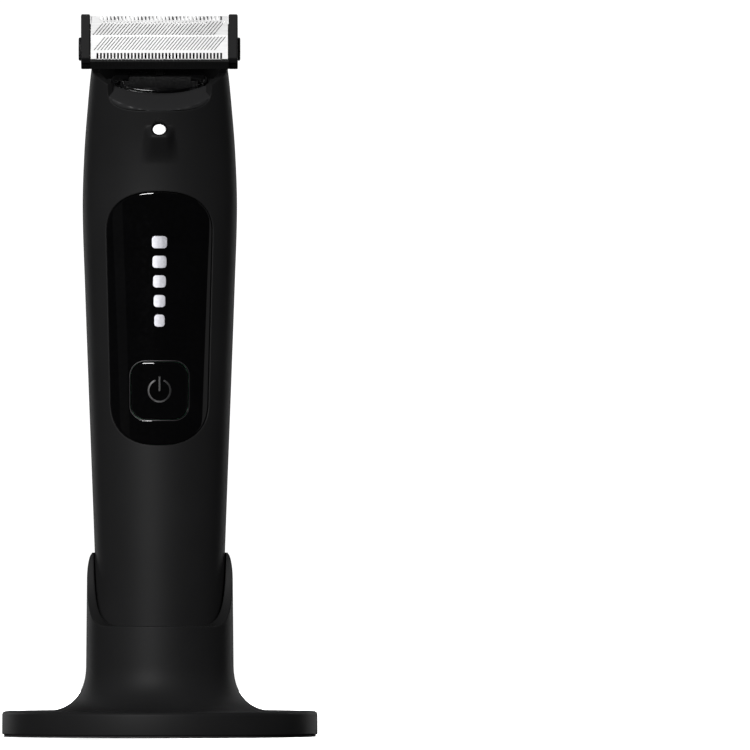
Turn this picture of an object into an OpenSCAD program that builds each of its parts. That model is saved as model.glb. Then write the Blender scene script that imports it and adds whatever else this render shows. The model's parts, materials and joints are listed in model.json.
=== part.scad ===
// Body groomer with a T-shaped cutting head, standing in a weighted cradle stand.
// Millimetres. +Z is up, -Y is the front, +X is the right as seen from the front.
// The origin is the centre of the stand's underside.

/* [Stand] */
// Radius of the round foot
foot_r = 39.5; // [36:0.5:44]
// Height of the round foot
foot_h = 6.4; // [6:0.1:8]
// Radius of the column at its waist
column_r = 18.45; // [18.2:0.05:20]
// Height of the cradle's rim
rim_z = 46; // [42:1:50]
// Height of the lip at the front of the cradle
lip_z = 27.75; // [24:0.25:34]
// Thickness of the rubber pad under the foot
pad_t = 0.5; // [0.4:0.1:0.8]

/* [Handle] */
// Height of the handle's underside above the table
handle_z = 10; // [9.9:0.1:10.4]
// Thickness of both shells
wall = 1.8; // [1.6:0.1:2]
// Gap between the handle and the cradle
cradle_gap = 0.35; // [0.3:0.05:0.6]
// Depth that the power button travels
button_travel = 0.4; // [0.2:0.1:0.5]

/* [Panel] */
// Half-width of the gloss panel at its top
panel_w_top = 13.3; // [12:0.1:14]
// Half-width of the gloss panel at its bottom
panel_w_bottom = 12.3; // [11:0.1:13]
// Lowest point of the gloss panel
panel_z0 = 73; // [70:1:76]
// Highest point of the gloss panel
panel_z1 = 136.1; // [130:0.1:140]
// Side of the square power button
button_w = 14.2; // [12:0.1:15]
// Height of the power button's centre
button_z = 86.5; // [85:0.5:90]

/* [Head] */
// Distance of the head's rocking axis in front of the stand's axis
pivot_y = 15.5; // [15.4:0.1:16]
// Height of the head's rocking axis
pivot_z = 171.75; // [171:0.25:173]
// Half-width of the cutting head without its axle caps
head_w = 19.55; // [19.3:0.05:21]
// Radius of the head's barrel
barrel_r = 4.6; // [4.4:0.1:4.8]
// Distance between the guard's lower teeth
guard_pitch = 0.857; // [0.8:0.01:1]
// Distance between the moving blade's teeth
blade_pitch = 0.97; // [0.9:0.01:1.1]
// Half of the blade's stroke, and the eccentric's offset
stroke = 0.7; // [0.4:0.1:0.8]

/* [Hidden] */

matte_black = [0.09, 0.09, 0.095];
gloss_black = [0.02, 0.02, 0.022];
rubber_black = [0.06, 0.06, 0.06];
steel = [0.75, 0.76, 0.78];
white_metal = [0.92, 0.92, 0.93];
board_green = [0.05, 0.3, 0.15];
silver_mark = [0.7, 0.7, 0.72];
cell_blue = [0.15, 0.25, 0.5];

eps = 0.01;
fit = 0.05;
big = 60;
$fn = 64;

// Handle outline: [height, value] keys joined by a smooth curve.
width_keys = [
  [10, 15.15], [46, 16.3], [90, 17.93], [112, 18.72], [132, 19.32], [146, 18.88],
  [158, 17.95], [166.5, 17.08], [169.5, 16.45], [171.3, 15.85], [172.2, 15.3]
];
front_keys = [
  [10, -14.2], [46, -15.3], [90, -15.7], [130, -15.45], [142, -16.2], [152, -18.1], [172.2, -24.1]
];
rear_keys = [
  [10, 14.2], [46, 15.3], [90, 15.7], [122, 15.3], [136, 13.9], [148, 11], [160, 6.6], [172.2, 2.5]
];

function key_slope(k, i) =
  let (a = max(i - 1, 0), b = min(i + 1, len(k) - 1))
  (k[b][1] - k[a][1]) / (k[b][0] - k[a][0]);
function key_index(k, z, i = 0) = i < len(k) - 2 && z > k[i + 1][0] ? key_index(k, z, i + 1) : i;
// Cubic through the keys, flat past both ends
function curve(k, z) =
  let (
    i = key_index(k, z),
    h = k[i + 1][0] - k[i][0],
    t = min(max((z - k[i][0]) / h, 0), 1)
  )
  k[i][1] * (2 * t * t * t - 3 * t * t + 1) + key_slope(k, i) * h * (t * t * t - 2 * t * t + t)
    + k[i + 1][1] * (3 * t * t - 2 * t * t * t) + key_slope(k, i + 1) * h * (t * t * t - t * t);

function half_width(z) = curve(width_keys, z);
function middle_y(z) = (curve(front_keys, z) + curve(rear_keys, z)) / 2;
function half_depth(z) = (curve(rear_keys, z) - curve(front_keys, z)) / 2;
// Distance of the handle's surface from its middle at a place across it
function bulge(x, z) = half_depth(z) * sqrt(max(1 - pow(x / half_width(z), 2), 0));
function front_surface(x, z) = middle_y(z) - bulge(x, z);
function rear_surface(x, z) = middle_y(z) + bulge(x, z);
function on_handle(z, inset, a) =
  [(half_width(z) - inset) * cos(a), middle_y(z) + (half_depth(z) - inset) * sin(a), z];

// Points of a corner whose shape is a superellipse, from its side to its end
round_power = 2.4;
function corner(w, h, n, power = round_power) =
  [for (i = [0 : n]) [w * pow(cos(i * 90 / n), 2 / power), h * pow(sin(i * 90 / n), 2 / power)]];
function ellipse(w, h, n = 40) = [for (i = [0 : n - 1]) [w * cos(i * 360 / n), h * sin(i * 360 / n)]];
// Adds the other side of an outline that runs up the right side
function both_sides(right) =
  concat(right, [for (i = [len(right) - 1 : -1 : 0]) [-right[i][0], right[i][1]]]);

// Closed solid through a stack of loops that all have the same, even number of points.
// Each loop runs out along one edge and back along the other.
module skin(loops) {
  m = len(loops[0]);
  n = len(loops);
  points = [for (loop = loops) each loop];
  sides = [
    for (k = [0 : n - 2], j = [0 : m - 1])
      let (a = k * m + j, b = k * m + (j + 1) % m)
      each [[a, b + m, b], [a, a + m, b + m]]
  ];
  bottom = [
    for (j = [0 : m / 2 - 2])
      let (p = j, q = j + 1, r = m - 2 - j, s = m - 1 - j)
      each [[p, q, r], [p, r, s]]
  ];
  top = [for (f = bottom) [f[0] + (n - 1) * m, f[2] + (n - 1) * m, f[1] + (n - 1) * m]];
  polyhedron(points = points, faces = concat(sides, bottom, top));
}

// Half of the handle's skin, between two insets. The front half is from 180 to 360 degrees.
shell_steps = 22;
module half_shell(heights, from, outer, inner, gap) {
  skin([
    for (z = heights)
      let (
        trim = gap / half_width(z) * 180 / PI,
        angles = [for (j = [0 : shell_steps]) from + trim + (180 - 2 * trim) * j / shell_steps]
      )
      concat(
        [for (a = angles) on_handle(z, outer, a)],
        [for (j = [shell_steps : -1 : 0]) on_handle(z, inner, angles[j])]
      )
  ]);
}

// Solid slice of the handle. Each entry of slices is [height, inset].
module handle_slice(slices, n = 44) {
  skin([for (s = slices) [for (j = [0 : n - 1]) on_handle(s[0], s[1], j * 360 / n)]]);
}

// Prisms: an outline in X and Z along Y, and an outline in Y and Z along X
module along_y(points, y0, y1) {
  translate([0, y1, 0]) rotate([90, 0, 0]) linear_extrude(y1 - y0) polygon(points);
}
module along_x(points, x0, x1) {
  translate([x0, 0, 0]) rotate([90, 0, 90]) linear_extrude(x1 - x0) polygon(points);
}
module box(x, y, z) {
  translate([x[0], y[0], z[0]]) cube([x[1] - x[0], y[1] - y[0], z[1] - z[0]]);
}
module mirrored_x() {
  children();
  mirror([1, 0, 0]) children();
}
module rod_x(r, x0, x1) {
  translate([x0, 0, 0]) rotate([0, 90, 0]) cylinder(r = r, h = x1 - x0);
}
module rod_y(r, y0, y1) {
  translate([0, y0, 0]) rotate([-90, 0, 0]) cylinder(r = r, h = y1 - y0);
}

shell_z0 = handle_z + 6.5;
low_heights = [for (i = [0 : 8]) shell_z0 + (135 - shell_z0) * i / 8];
front_top = 167.5;
rear_top = 172.1;

// ---------------------------------------------------------------- stand
pocket_floor = handle_z - 0.2;
recess_top = pad_t + 4.1;
screw_ring = 11;
rim_round = [1.5, 7];
fillet = [11.05, 12];

stand_outline = concat(
  [[0, pad_t], [foot_r - 0.4, pad_t]],
  [for (p = corner(0.4, 0.4, 3)) [foot_r - 0.4 + p[1], pad_t + 0.4 - p[0]]],
  [for (p = corner(0.8, 0.8, 4)) [foot_r - 1.1 + p[0], foot_h - 0.8 + p[1]]],
  [for (i = [12 : -1 : 0]) let (p = corner(fillet[0], fillet[1], 12)[i])
    [column_r + fillet[0] - p[0], foot_h + fillet[1] - p[1]]],
  [for (p = corner(rim_round[0], rim_round[1], 8, 2))
    [column_r - 0.2 - rim_round[0] + p[0], rim_z - rim_round[1] + p[1]]],
  [[0, rim_z]]
);

module stand_body() {
  scoop_y = -12.5;
  scoop = [11.5, rim_z - lip_z];
  window = [12.45, 22.9, 39.8, 2];
  color(matte_black) difference() {
    rotate_extrude($fn = 96) polygon(stand_outline);
    handle_slice([for (i = [0 : 4]) [pocket_floor + (rim_z + 1 - pocket_floor) * i / 4, -cradle_gap]]);
    along_x(
      concat(
        [[-big, lip_z]],
        [for (i = [0 : 14]) [scoop_y + scoop[0] * sin(i * 90 / 14), rim_z - scoop[1] * cos(i * 90 / 14)]],
        [[scoop_y + scoop[0], rim_z + 5], [-big, rim_z + 5]]
      ),
      -big, big
    );
    difference() {
      along_y(rounded(window[0], window[1], window[2], window[3]), 5, 25);
      cylinder(r = column_r - 1.45, h = 60);
    }
    translate([0, 0, -1]) difference() {
      cylinder(r = foot_r - 2.7, h = recess_top + 1);
      for (a = [30 : 120 : 270]) rotate(a) translate([screw_ring, 0, 0]) cylinder(r = 3.1, h = 20);
    }
    for (a = [30 : 120 : 270]) rotate(a) translate([screw_ring, 0, -1]) {
      cylinder(r = 3.2, h = 1 + pad_t + 1.7);
      cylinder(r = 1.25, h = 8.2);
    }
  }
}

// Upright rectangle with round corners, as an outline in X and Z
function rounded(w, z0, z1, r) = [
  for (q = [[w - r, z1 - r, 0], [r - w, z1 - r, 90], [r - w, z0 + r, 180], [w - r, z0 + r, 270]], i = [0 : 5])
    [q[0] + r * cos(q[2] + i * 18), q[1] + r * sin(q[2] + i * 18)]
];

module stand_weight() {
  color(steel) translate([0, 0, pad_t + 1.8]) difference() {
    cylinder(r = foot_r - 4, h = 2.1);
    translate([0, 0, -1]) cylinder(r = 17, h = 5);
  }
}

module stand_base_plate() {
  color(matte_black) difference() {
    translate([0, 0, pad_t + 0.05]) cylinder(r = foot_r - 3, h = 1.6);
    for (a = [30 : 120 : 270]) rotate(a) translate([screw_ring, 0, -1]) {
      cylinder(r = 1.7, h = 5);
      cylinder(r = 2.8, h = 1 + pad_t + 0.9);
    }
  }
}

module stand_screws() {
  color(steel) for (a = [30 : 120 : 270]) rotate(a) translate([screw_ring, 0, pad_t + 0.1]) difference() {
    union() {
      cylinder(r = 2.6, h = 0.75);
      cylinder(r = 1.2, h = 6.4);
    }
    translate([0, 0, -eps]) cylinder(r = 0.9, h = 0.4, $fn = 6);
  }
}

module stand_foot_pad() {
  color(rubber_black) cylinder(r = foot_r - 0.5, h = pad_t - eps);
}

// ---------------------------------------------------------------- shells
torch_tilt = 38.7;
torch_z = 151.75;
torch_y = -18.9;
torch_r = 3.1;
lens_r = 1.65;
module at_torch() {
  translate([0, torch_y, torch_z]) rotate([90 - torch_tilt, 0, 0]) children();
}

// Front notch that shows the neck collar, and the ears beside it
notch = [13, 163, 6.75];
notch_right = concat(
  [for (i = [11 : -1 : 0]) let (p = corner(notch[0], notch[2], 12, 3.4)[i]) [p[0], notch[1] - p[1]]],
  [[13.9, 163.6], [15.3, 164.6], [16.5, 165.8], [17.1, 167], [17.3, 168]]
);

// Outline of the gloss panel, and of the hole for it when grown
panel_round_top = 10;
panel_round_bottom = 11;
function panel_right(grow) = concat(
  [for (i = [8 : -1 : 0]) let (p = corner(panel_w_bottom + grow, panel_round_bottom + grow, 8)[i])
    [max(p[0], 0.5), panel_z0 + panel_round_bottom - p[1]]],
  [for (p = corner(panel_w_top + grow, panel_round_top + grow, 8))
    [max(p[0], 0.5), panel_z1 - panel_round_top + p[1]]]
);

module front_shell() {
  heights = concat(low_heights, [140, 144, 148, 152, 156, 160, 164, front_top]);
  color(matte_black) difference() {
    union() {
      half_shell(heights, 180, 0, wall, 0.05);
      intersection() {
        at_torch() translate([0, 0, -6]) cylinder(r = torch_r, h = 6);
        box([-5, 5], [-25, front_surface(0, 150) + wall], [140, 160]);
      }
    }
    along_y(both_sides(notch_right), -big, 20);
    along_y(both_sides(panel_right(0.12)), -big, -2);
    at_torch() translate([0, 0, -0.01]) cylinder(r = torch_r + 0.1, h = 10);
    at_torch() translate([0, 0, -8]) cylinder(r = lens_r + fit, h = 12);
  }
}

tongue_gap = 0.25;
tongue_z0 = 150.75;
tongue_round = 3.6;
tongue_w0 = 13;
tongue_w1 = 14.4;
function opening_right() = concat(
  [for (i = [0 : 6]) [tongue_w0 - tongue_round + tongue_round * sin(i * 15),
    tongue_z0 + tongue_round - tongue_round * cos(i * 15)]],
  [[tongue_w1, 170.6], [tongue_w1 + 0.15, 176]]
);

// Comb latch slot: half-width, lowest and highest point, where its ramp ends and how deep it goes
latch = [2.8, 139.9, 148.45];
latch_ramp_z = 144.5;
latch_y = 9;
// Places of the screws that hold the chassis in the rear shell
screw_x = [-5.5, 5.5];
screw_z = [25, 98];
screw_tip_y = 12;
module rear_shell() {
  heights = concat(low_heights, [140, 144, 148, 152, 156, 160, 164, 167, 169.5, 171.3, rear_top]);
  color(matte_black) difference() {
    union() {
      half_shell(heights, 0, 0, wall, 0.05);
      intersection() {
        for (x = screw_x, z = screw_z) translate([x, 0, z]) rod_y(2, chassis_back + fit, 18);
        handle_slice([[20, 0.4], [46, 0.4], [90, 0.4], [104, 0.4]]);
      }
      intersection() {
        box([-latch[0] - 1.2, latch[0] + 1.2], [5.2, 25], [latch[1] - 1.5, latch[2] + 1]);
        half_shell([for (z = [138, 142, 146, 150]) z], 0, wall - 0.5, 4.4, 0.05);
      }
    }
    along_y(both_sides(opening_right()), -8, big);
    intersection() {
      along_y(
        both_sides(concat(
          [for (i = [0 : 6]) [latch[0] * sin(i * 15), latch[1] + latch[0] - latch[0] * cos(i * 15)]],
          [[latch[0], latch[2]]]
        )),
        0, 25
      );
      along_x(
        [[latch_y, latch[2] + 1], [latch_y, latch_ramp_z], [rear_surface(0, latch[1]) - 0.2, latch[1]],
          [25, latch[1] - 1], [25, latch[2] + 1]],
        -5, 5
      );
    }
    for (x = screw_x, z = screw_z) translate([x, 0, z]) rod_y(0.85 + fit, 5, screw_tip_y + 0.3);
  }
}

// Closed neck inside the shells. Its sloped top shows in the front notch.
collar_z0 = 146;
collar_z1 = 164.4;
collar_slope = 40;
well = [12.2, 3.7];
well_y = -10.2;
collar_back = -3.4;
lug_x = [4.7, 6.1];
module neck_collar() {
  color(matte_black) difference() {
    union() {
      difference() {
        handle_slice([for (z = [collar_z0, 150, 154, 158, 161, collar_z1]) [z, wall + 0.15]], 36);
        translate([0, -19, 156.4]) rotate([collar_slope, 0, 0]) box([-big, big], [-20, big], [0, big]);
        box([-big, big], [collar_back, big], [collar_z0 - 1, collar_z1 + 1]);
        translate([0, well_y, collar_z0 + 3]) linear_extrude(40) polygon(ellipse(well[0], well[1]));
        box([-4.6, 4.6], [well_y, big], [collar_z0 - 1, collar_z1 + 1]);
        at_torch() translate([0, 0, -9]) cylinder(r = torch_r + 0.2, h = 20);
      }
      mirrored_x() {
        box(lug_x, [collar_back - 0.1, tongue_pin_y], [tongue_pin_z - 1.5, tongue_pin_z + 1.5]);
        translate([0, tongue_pin_y, tongue_pin_z]) rod_x(1.5, lug_x[0], lug_x[1]);
      }
    }
    translate([0, tongue_pin_y, tongue_pin_z]) rod_x(0.8 + 0.02, -7, 7);
  }
}

// ---------------------------------------------------------------- handle underside
usb = [4.45, 1.6];
function slot_outline(w, h, n = 8) = [
  for (q = [[w - h, -90], [h - w, 90]], i = [0 : n])
    let (a = q[1] + i * 180 / n) [q[0] + h * cos(a), h * sin(a)]
];
// Rounded underside: [height above it, inset] of each slice
cap_round = [[0, 2.6], [0.4, 1.3], [1.2, 0.5], [2.6, 0.08], [5.8, 0]];
module bottom_cap() {
  color(matte_black) difference() {
    handle_slice([for (c = cap_round) [handle_z + c[0], c[1]]]);
    translate([0, 0, handle_z + 2.2]) linear_extrude(10) polygon(slot_outline(usb[0] + 1.6, usb[1] + 1.6));
    translate([0, 0, handle_z - 1]) linear_extrude(10) polygon(slot_outline(usb[0] + 0.1, usb[1] + 0.1));
  }
}
module cap_seal() {
  color(rubber_black) difference() {
    handle_slice([[shell_z0 - 0.65, 0.3], [shell_z0 - 0.05, 0.3]], 32);
    handle_slice([[shell_z0 - 1.5, 1.7], [shell_z0 + 1, 1.7]], 32);
  }
}
module usb_socket() {
  color(steel) translate([0, 0, handle_z + 0.6]) difference() {
    linear_extrude(7.4) polygon(slot_outline(usb[0], usb[1]));
    translate([0, 0, -eps]) linear_extrude(6.2) difference() {
      polygon(slot_outline(usb[0] - 0.3, usb[1] - 0.3));
      square([6.6, 0.7], center = true);
    }
  }
}

// ---------------------------------------------------------------- panel and button
panel_t = 1.5;
patch_steps = 12;
// One row of a patch that follows the front of the handle
function patch_row(w, z, skin_out, t) = concat(
  [for (j = [0 : patch_steps])
    let (x = w * (2 * j / patch_steps - 1)) [x, front_surface(x, z) - skin_out, z]],
  [for (j = [patch_steps : -1 : 0])
    let (x = w * (2 * j / patch_steps - 1)) [x, front_surface(x, z) - skin_out + t, z]]
);

module display_panel() {
  right = panel_right(0);
  hole = button_w / 2 + 0.13;
  color(gloss_black) difference() {
    skin([for (p = right) patch_row(p[0], p[1], 0.02, panel_t)]);
    along_y(rounded(hole, button_z - hole, button_z + hole, 3.6), -big, 0);
  }
}

bar_count = 5;
bar_z = [101.5, 126];
module level_bars() {
  step = (bar_z[1] - bar_z[0]) / bar_count;
  color(silver_mark) for (i = [0 : bar_count - 1])
    let (z = bar_z[0] + step * (i + 0.5), w = 1.3 + 0.15 * i, y = front_surface(0, z) - 0.04)
      along_y(rounded(w, z - step * 0.31, z + step * 0.31, 0.9), y - 0.1, y);
}

button_rows = 4;
module power_button() {
  r = 3.5;
  s = button_w / 2;
  rows = concat(
    [for (i = [0 : button_rows]) let (a = i * 90 / button_rows) [s - r + r * sin(a), -s + r - r * cos(a)]],
    [for (i = [button_rows : -1 : 0]) let (a = i * 90 / button_rows) [s - r + r * sin(a), s - r + r * cos(a)]]
  );
  color(gloss_black) difference() {
    union() {
      skin([for (p = rows) patch_row(p[0], button_z + p[1], 0.02, panel_t)]);
      box([-1.5, 1.5], [-14.6, switch_y - button_travel - 0.2], [button_z - 1.5, button_z + 1.5]);
    }
    translate([0, 0, button_z]) symbol(0.05);
  }
}

// Ring with a gap at the top and an upright bar, sunk in the button
module symbol(grow) {
  y0 = front_surface(0, button_z) - 1;
  y1 = front_surface(3, button_z) + 0.35;
  difference() {
    rod_y(3.1 + grow, y0, y1);
    rod_y(2.5 - grow, y0 - 1, y1 + 1);
    box([-1.1 + grow, 1.1 - grow], [y0 - 1, y1 + 1], [0, 5]);
  }
  box([-0.3 - grow, 0.3 + grow], [y0, y1], [-0.25 - grow, 3.75 + grow]);
}
module power_symbol() {
  color([0.05, 0.05, 0.055]) intersection() {
    translate([0, -0.02, button_z]) symbol(0);
    skin([for (z = [button_z - 4, button_z, button_z + 4]) patch_row(4, z, 0, 1)]);
  }
}

board_y = -11.8;
board_t = 1;
switch_y = board_y - 0.7;
module display_board() {
  color(board_green) box([-8.8, 8.8], [board_y, board_y + board_t], [79, 133]);
}
module tact_switch() {
  color(steel) translate([0, 0, button_z]) {
    rod_y(1.3, switch_y, board_y - 0.4);
    box([-2.6, 2.6], [board_y - 0.45, board_y - eps], [-2.6, 2.6]);
  }
}
module circuit_board() {
  color(board_green) box([-7.5, 7.5], [-8.7, -7.7], [22, 74]);
}
module board_parts() {
  color([0.1, 0.1, 0.1]) {
    box([-2.5, 2.5], [-9.8, -8.72], [60, 65]);
    box([-4.5, -1], [-9.9, -8.72], [30, 33.5]);
    box([1.5, 4.5], [-10.2, -8.72], [29, 32.5]);
    box([-6, -4], [-9.5, -8.72], [46, 50]);
    box([3, 6.4], [-9.5, -8.72], [44, 46]);
  }
}

// ---------------------------------------------------------------- battery, chassis, motor
cell_y = 1;
cell_r = 7;
cell_z = [21, 70];
module battery_cell() {
  color(cell_blue) translate([0, cell_y, cell_z[0]]) {
    cylinder(r = cell_r, h = cell_z[1] - cell_z[0] - 1);
    cylinder(r = 2.6, h = cell_z[1] - cell_z[0]);
  }
}
module battery_tabs() {
  color(steel) for (z = [cell_z[0] - 0.3, cell_z[1] + 0.02]) {
    box([-2, 2], [-7.2, cell_y + 3], [z, z + 0.25]);
    box([-2, 2], [-7.5, -7.2], [z - (z > 50 ? 3 : 0), z + (z > 50 ? 0.25 : 3)]);
  }
}

motor_y = -2.5;
motor_z = [107, 139];
module motor_can() {
  length = motor_z[1] - motor_z[0];
  color(steel) translate([0, motor_y, motor_z[0]]) difference() {
    union() {
      intersection() {
        cylinder(r = 10, h = length);
        box([-11, 11], [-7.4, 7.5], [0, length]);
      }
      translate([0, 0, -1.2]) cylinder(r = 3, h = 2);
      translate([0, 0, length - eps]) cylinder(r = 3, h = 1.5);
    }
    translate([0, 0, length - 4.1]) cylinder(r = 1 + fit, h = 10);
  }
}

// Back plate behind the battery and the motor, with a step forward past the comb latch slot
chassis_w = 7.4;
chassis_back = 9.8;
chassis_t = 1.4;
step_z = [133, 136];
step_y = [5.4, 7.6];
bulkhead_z = 140.8;
bulkhead_t = 1.6;
module chassis() {
  front = chassis_back - chassis_t;
  w = [-chassis_w, chassis_w];
  color([0.2, 0.2, 0.21]) difference() {
    union() {
      box(w, [front, chassis_back], [19, step_z[1]]);
      box(w, [step_y[0], chassis_back], step_z);
      box(w, step_y, [step_z[0], bulkhead_z + bulkhead_t]);
      box([-10, 10], [-11.5, step_y[1]], [bulkhead_z, bulkhead_z + bulkhead_t]);
      box(w, [-4.5, front + 0.5], [18.6, 20.2]);
      box(w, [-5, front + 0.5], [71.5, 73]);
      box(w, [6, front + 0.5], [104, 105.4]);
    }
    translate([0, motor_y, bulkhead_z - 1]) cylinder(r = 3.3, h = 5);
    for (x = screw_x, z = screw_z) translate([x, 0, z]) rod_y(0.95, 5, 12);
  }
}
module chassis_screws() {
  front = chassis_back - chassis_t;
  color(steel) for (x = screw_x, z = screw_z) translate([x, 0, z]) {
    rod_y(0.85, front - 0.2, screw_tip_y);
    rod_y(1.6, front - 1, front - fit);
  }
}
module shaft_seal() {
  color(rubber_black) translate([0, motor_y, bulkhead_z + 0.1]) difference() {
    cylinder(r = 3.2, h = 1.7);
    translate([0, 0, -1]) cylinder(r = 1 + fit, h = 5);
  }
}
module motor_shaft() {
  color(steel) translate([0, motor_y, motor_z[1] - 4]) cylinder(r = 1, h = 10.6);
}
cam_z = 143;
module eccentric_cam() {
  color(matte_black) translate([0, motor_y, cam_z]) difference() {
    union() {
      cylinder(r = 3.3, h = 3.6);
      translate([0, -stroke, 3]) cylinder(r = 0.75, h = 6.8);
    }
    translate([0, 0, -1]) cylinder(r = 1 + 0.02, h = 1 + 2.7);
  }
}

// ---------------------------------------------------------------- torch, tongue
module light_lens() {
  color("white") at_torch() translate([0, 0, -1.3]) cylinder(r = lens_r, h = 1.15);
}
module light_board() {
  color(board_green) at_torch() translate([0, 0, -3.4]) {
    cylinder(r = lens_r - 0.1, h = 0.6);
    translate([-0.6, -0.6, 0.5]) cube([1.2, 1.2, 1]);
  }
}

tongue_t = 1.5;
tongue_pin_y = 4.1;
tongue_pin_z = 154;
knuckles = [6.3, 8.9];
tongue_steps = 14;
tongue_low = tongue_z0 + tongue_gap;
// Height of the tongue's top edge, and its half-width at a height above its bottom
function tongue_top(x) = 166.8 + 3.8 * pow(abs(x) / 14.1, 7);
function tongue_w(h) =
  let (r = tongue_round - tongue_gap, side = tongue_w0 - tongue_gap)
  h < r
    ? side - r + sqrt(r * r - (r - h) * (r - h))
    : side + (tongue_w1 - tongue_w0) * (h - r) / (170.6 - tongue_z0 - r);
// Outer face of the tongue, which sinks below the shell towards its bottom
function tongue_face(x, z) = rear_surface(x, z) - 0.9 * max(166.8 - z, 0) / 16 - 0.05;
function tongue_point(s, t, depth) =
  let (x = s * tongue_w(t * 19.6), z = tongue_low + (tongue_top(x) - tongue_low) * t)
  [x, tongue_face(x, z) - depth, z];
grip_z = 160.1;
// Short upright ridge for the thumb
module tongue_ridge(x) {
  low = grip_z - 1.6;
  high = grip_z + 1.6;
  along_x(
    [
      [tongue_face(x, low) - 0.6, low], [tongue_face(x, low), low],
      [tongue_face(x, low + 0.3) + 0.2, low + 0.3], [tongue_face(x, high - 0.3) + 0.2, high - 0.3],
      [tongue_face(x, high), high], [tongue_face(x, high) - 0.6, high]
    ],
    x - 0.3, x + 0.3
  );
}
module release_tongue() {
  rows = [0, 0.012, 0.04, 0.09, 0.17, 0.3, 0.45, 0.6, 0.75, 0.88, 1];
  color(matte_black) difference() {
    union() {
      skin([
        for (t = rows) concat(
          [for (j = [0 : tongue_steps]) tongue_point(2 * j / tongue_steps - 1, t, tongue_t)],
          [for (j = [tongue_steps : -1 : 0]) tongue_point(2 * j / tongue_steps - 1, t, 0)]
        )
      ]);
      mirrored_x() translate([0, tongue_pin_y, tongue_pin_z]) rod_x(1.75, knuckles[0], knuckles[1]);
      for (x = [-7 : 2 : 7]) tongue_ridge(x);
    }
    translate([0, tongue_pin_y, tongue_pin_z]) rod_x(0.8 + fit, -20, 20);
  }
}
module tongue_pin() {
  color(steel) translate([0, tongue_pin_y, tongue_pin_z]) rod_x(0.8, -9.1, 9.1);
}
spring_turns = 5;
module release_spring() {
  first = -(spring_turns - 1) / 2 * 0.72;
  color(steel) for (i = [0 : spring_turns - 1])
    translate([first + i * 0.72, tongue_pin_y, tongue_pin_z]) rotate([0, 90, 0])
      rotate_extrude() translate([1.35, 0]) circle(r = 0.34, $fn = 16);
}

// ---------------------------------------------------------------- head carrier and drive
module at_pivot() {
  translate([0, -pivot_y, pivot_z]) children();
}
arm_x = [7.8, 11.1];
plug = [11.85, 3.4];
lever_pivot = [-10.2, 161];
arm_outline = [
  [-1.7, 0], [-1.7, -1.2], [0.9, -6.5], [2.6, -8.6], [4.3, -8.8], [4.3, -10.4],
  [6.2, -10.4], [5.2, -6.5], [1.7, -0.9], [1.7, 0]
];
block_outline = [
  [-13.3, 161.7], [-13.3, 164.7], [-12.9, 165.2], [-7.4, 165.2], [-7.4, 164.5], [-7.7, 164.5], [-7.7, 161.7]
];
module head_carrier() {
  color(gloss_black) difference() {
    union() {
      translate([0, well_y, collar_z0 + 3.2]) linear_extrude(12.9) polygon(ellipse(plug[0], plug[1]));
      along_x(block_outline, -8.8, 8.8);
      along_y(rounded(7.1, 160, 171.1, 2.2), -9.2, -7.8);
      mirrored_x() at_pivot() {
        rod_x(1.8, arm_x[0], arm_x[1]);
        along_x(arm_outline, arm_x[0], arm_x[1]);
      }
    }
    box([-3, 3], [-12.4, -9.4], [140, 166]);
    box([-4.3, 4.3], [-12.4, 0], [140, 153.4]);
    translate([0, 0, lever_pivot[1]]) rod_y(0.82, -12.9, -5);
    at_pivot() rod_x(0.82, -20, 20);
  }
}
module lever_pin() {
  color(steel) translate([0, 0, lever_pivot[1]]) rod_y(0.8, -12.8, -7.9);
}
module pivot_pins() {
  color(steel) mirrored_x() at_pivot() rod_x(0.8, 5.1, 13.6);
}
module float_spring() {
  color(steel) mirrored_x() at_pivot() for (i = [0 : 3]) translate([5.6 + i * 0.55, 0, 0]) rotate([0, 90, 0])
    rotate_extrude() translate([1.2, 0]) circle(r = 0.22, $fn = 16);
}

foot_z = [149.8, 152.4];
lever_outline = [
  [-11.9, 149.8], [-11.9, 165], [-15.9, 170.9], [-15, 171.4], [-10.3, 165.2], [-9.9, 163], [-9.9, 149.8]
];
module drive_lever() {
  slot = 2 * stroke + 0.75 + 0.15;
  color([0.85, 0.85, 0.83]) difference() {
    union() {
      along_x(lever_outline, -0.9, 0.9);
      at_pivot() sphere(r = 1.2);
      translate([0, 0, lever_pivot[1]]) rod_y(2.2, -11.9, -9.9);
      box([-3.3, 3.3], [-11.9, -0.4], foot_z);
    }
    translate([0, 0, lever_pivot[1]]) rod_y(0.8 + fit, -20, 0);
    box([-slot, slot], [-5.6, 5], [foot_z[0] - 1, foot_z[1] + 1]);
  }
}

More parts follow.
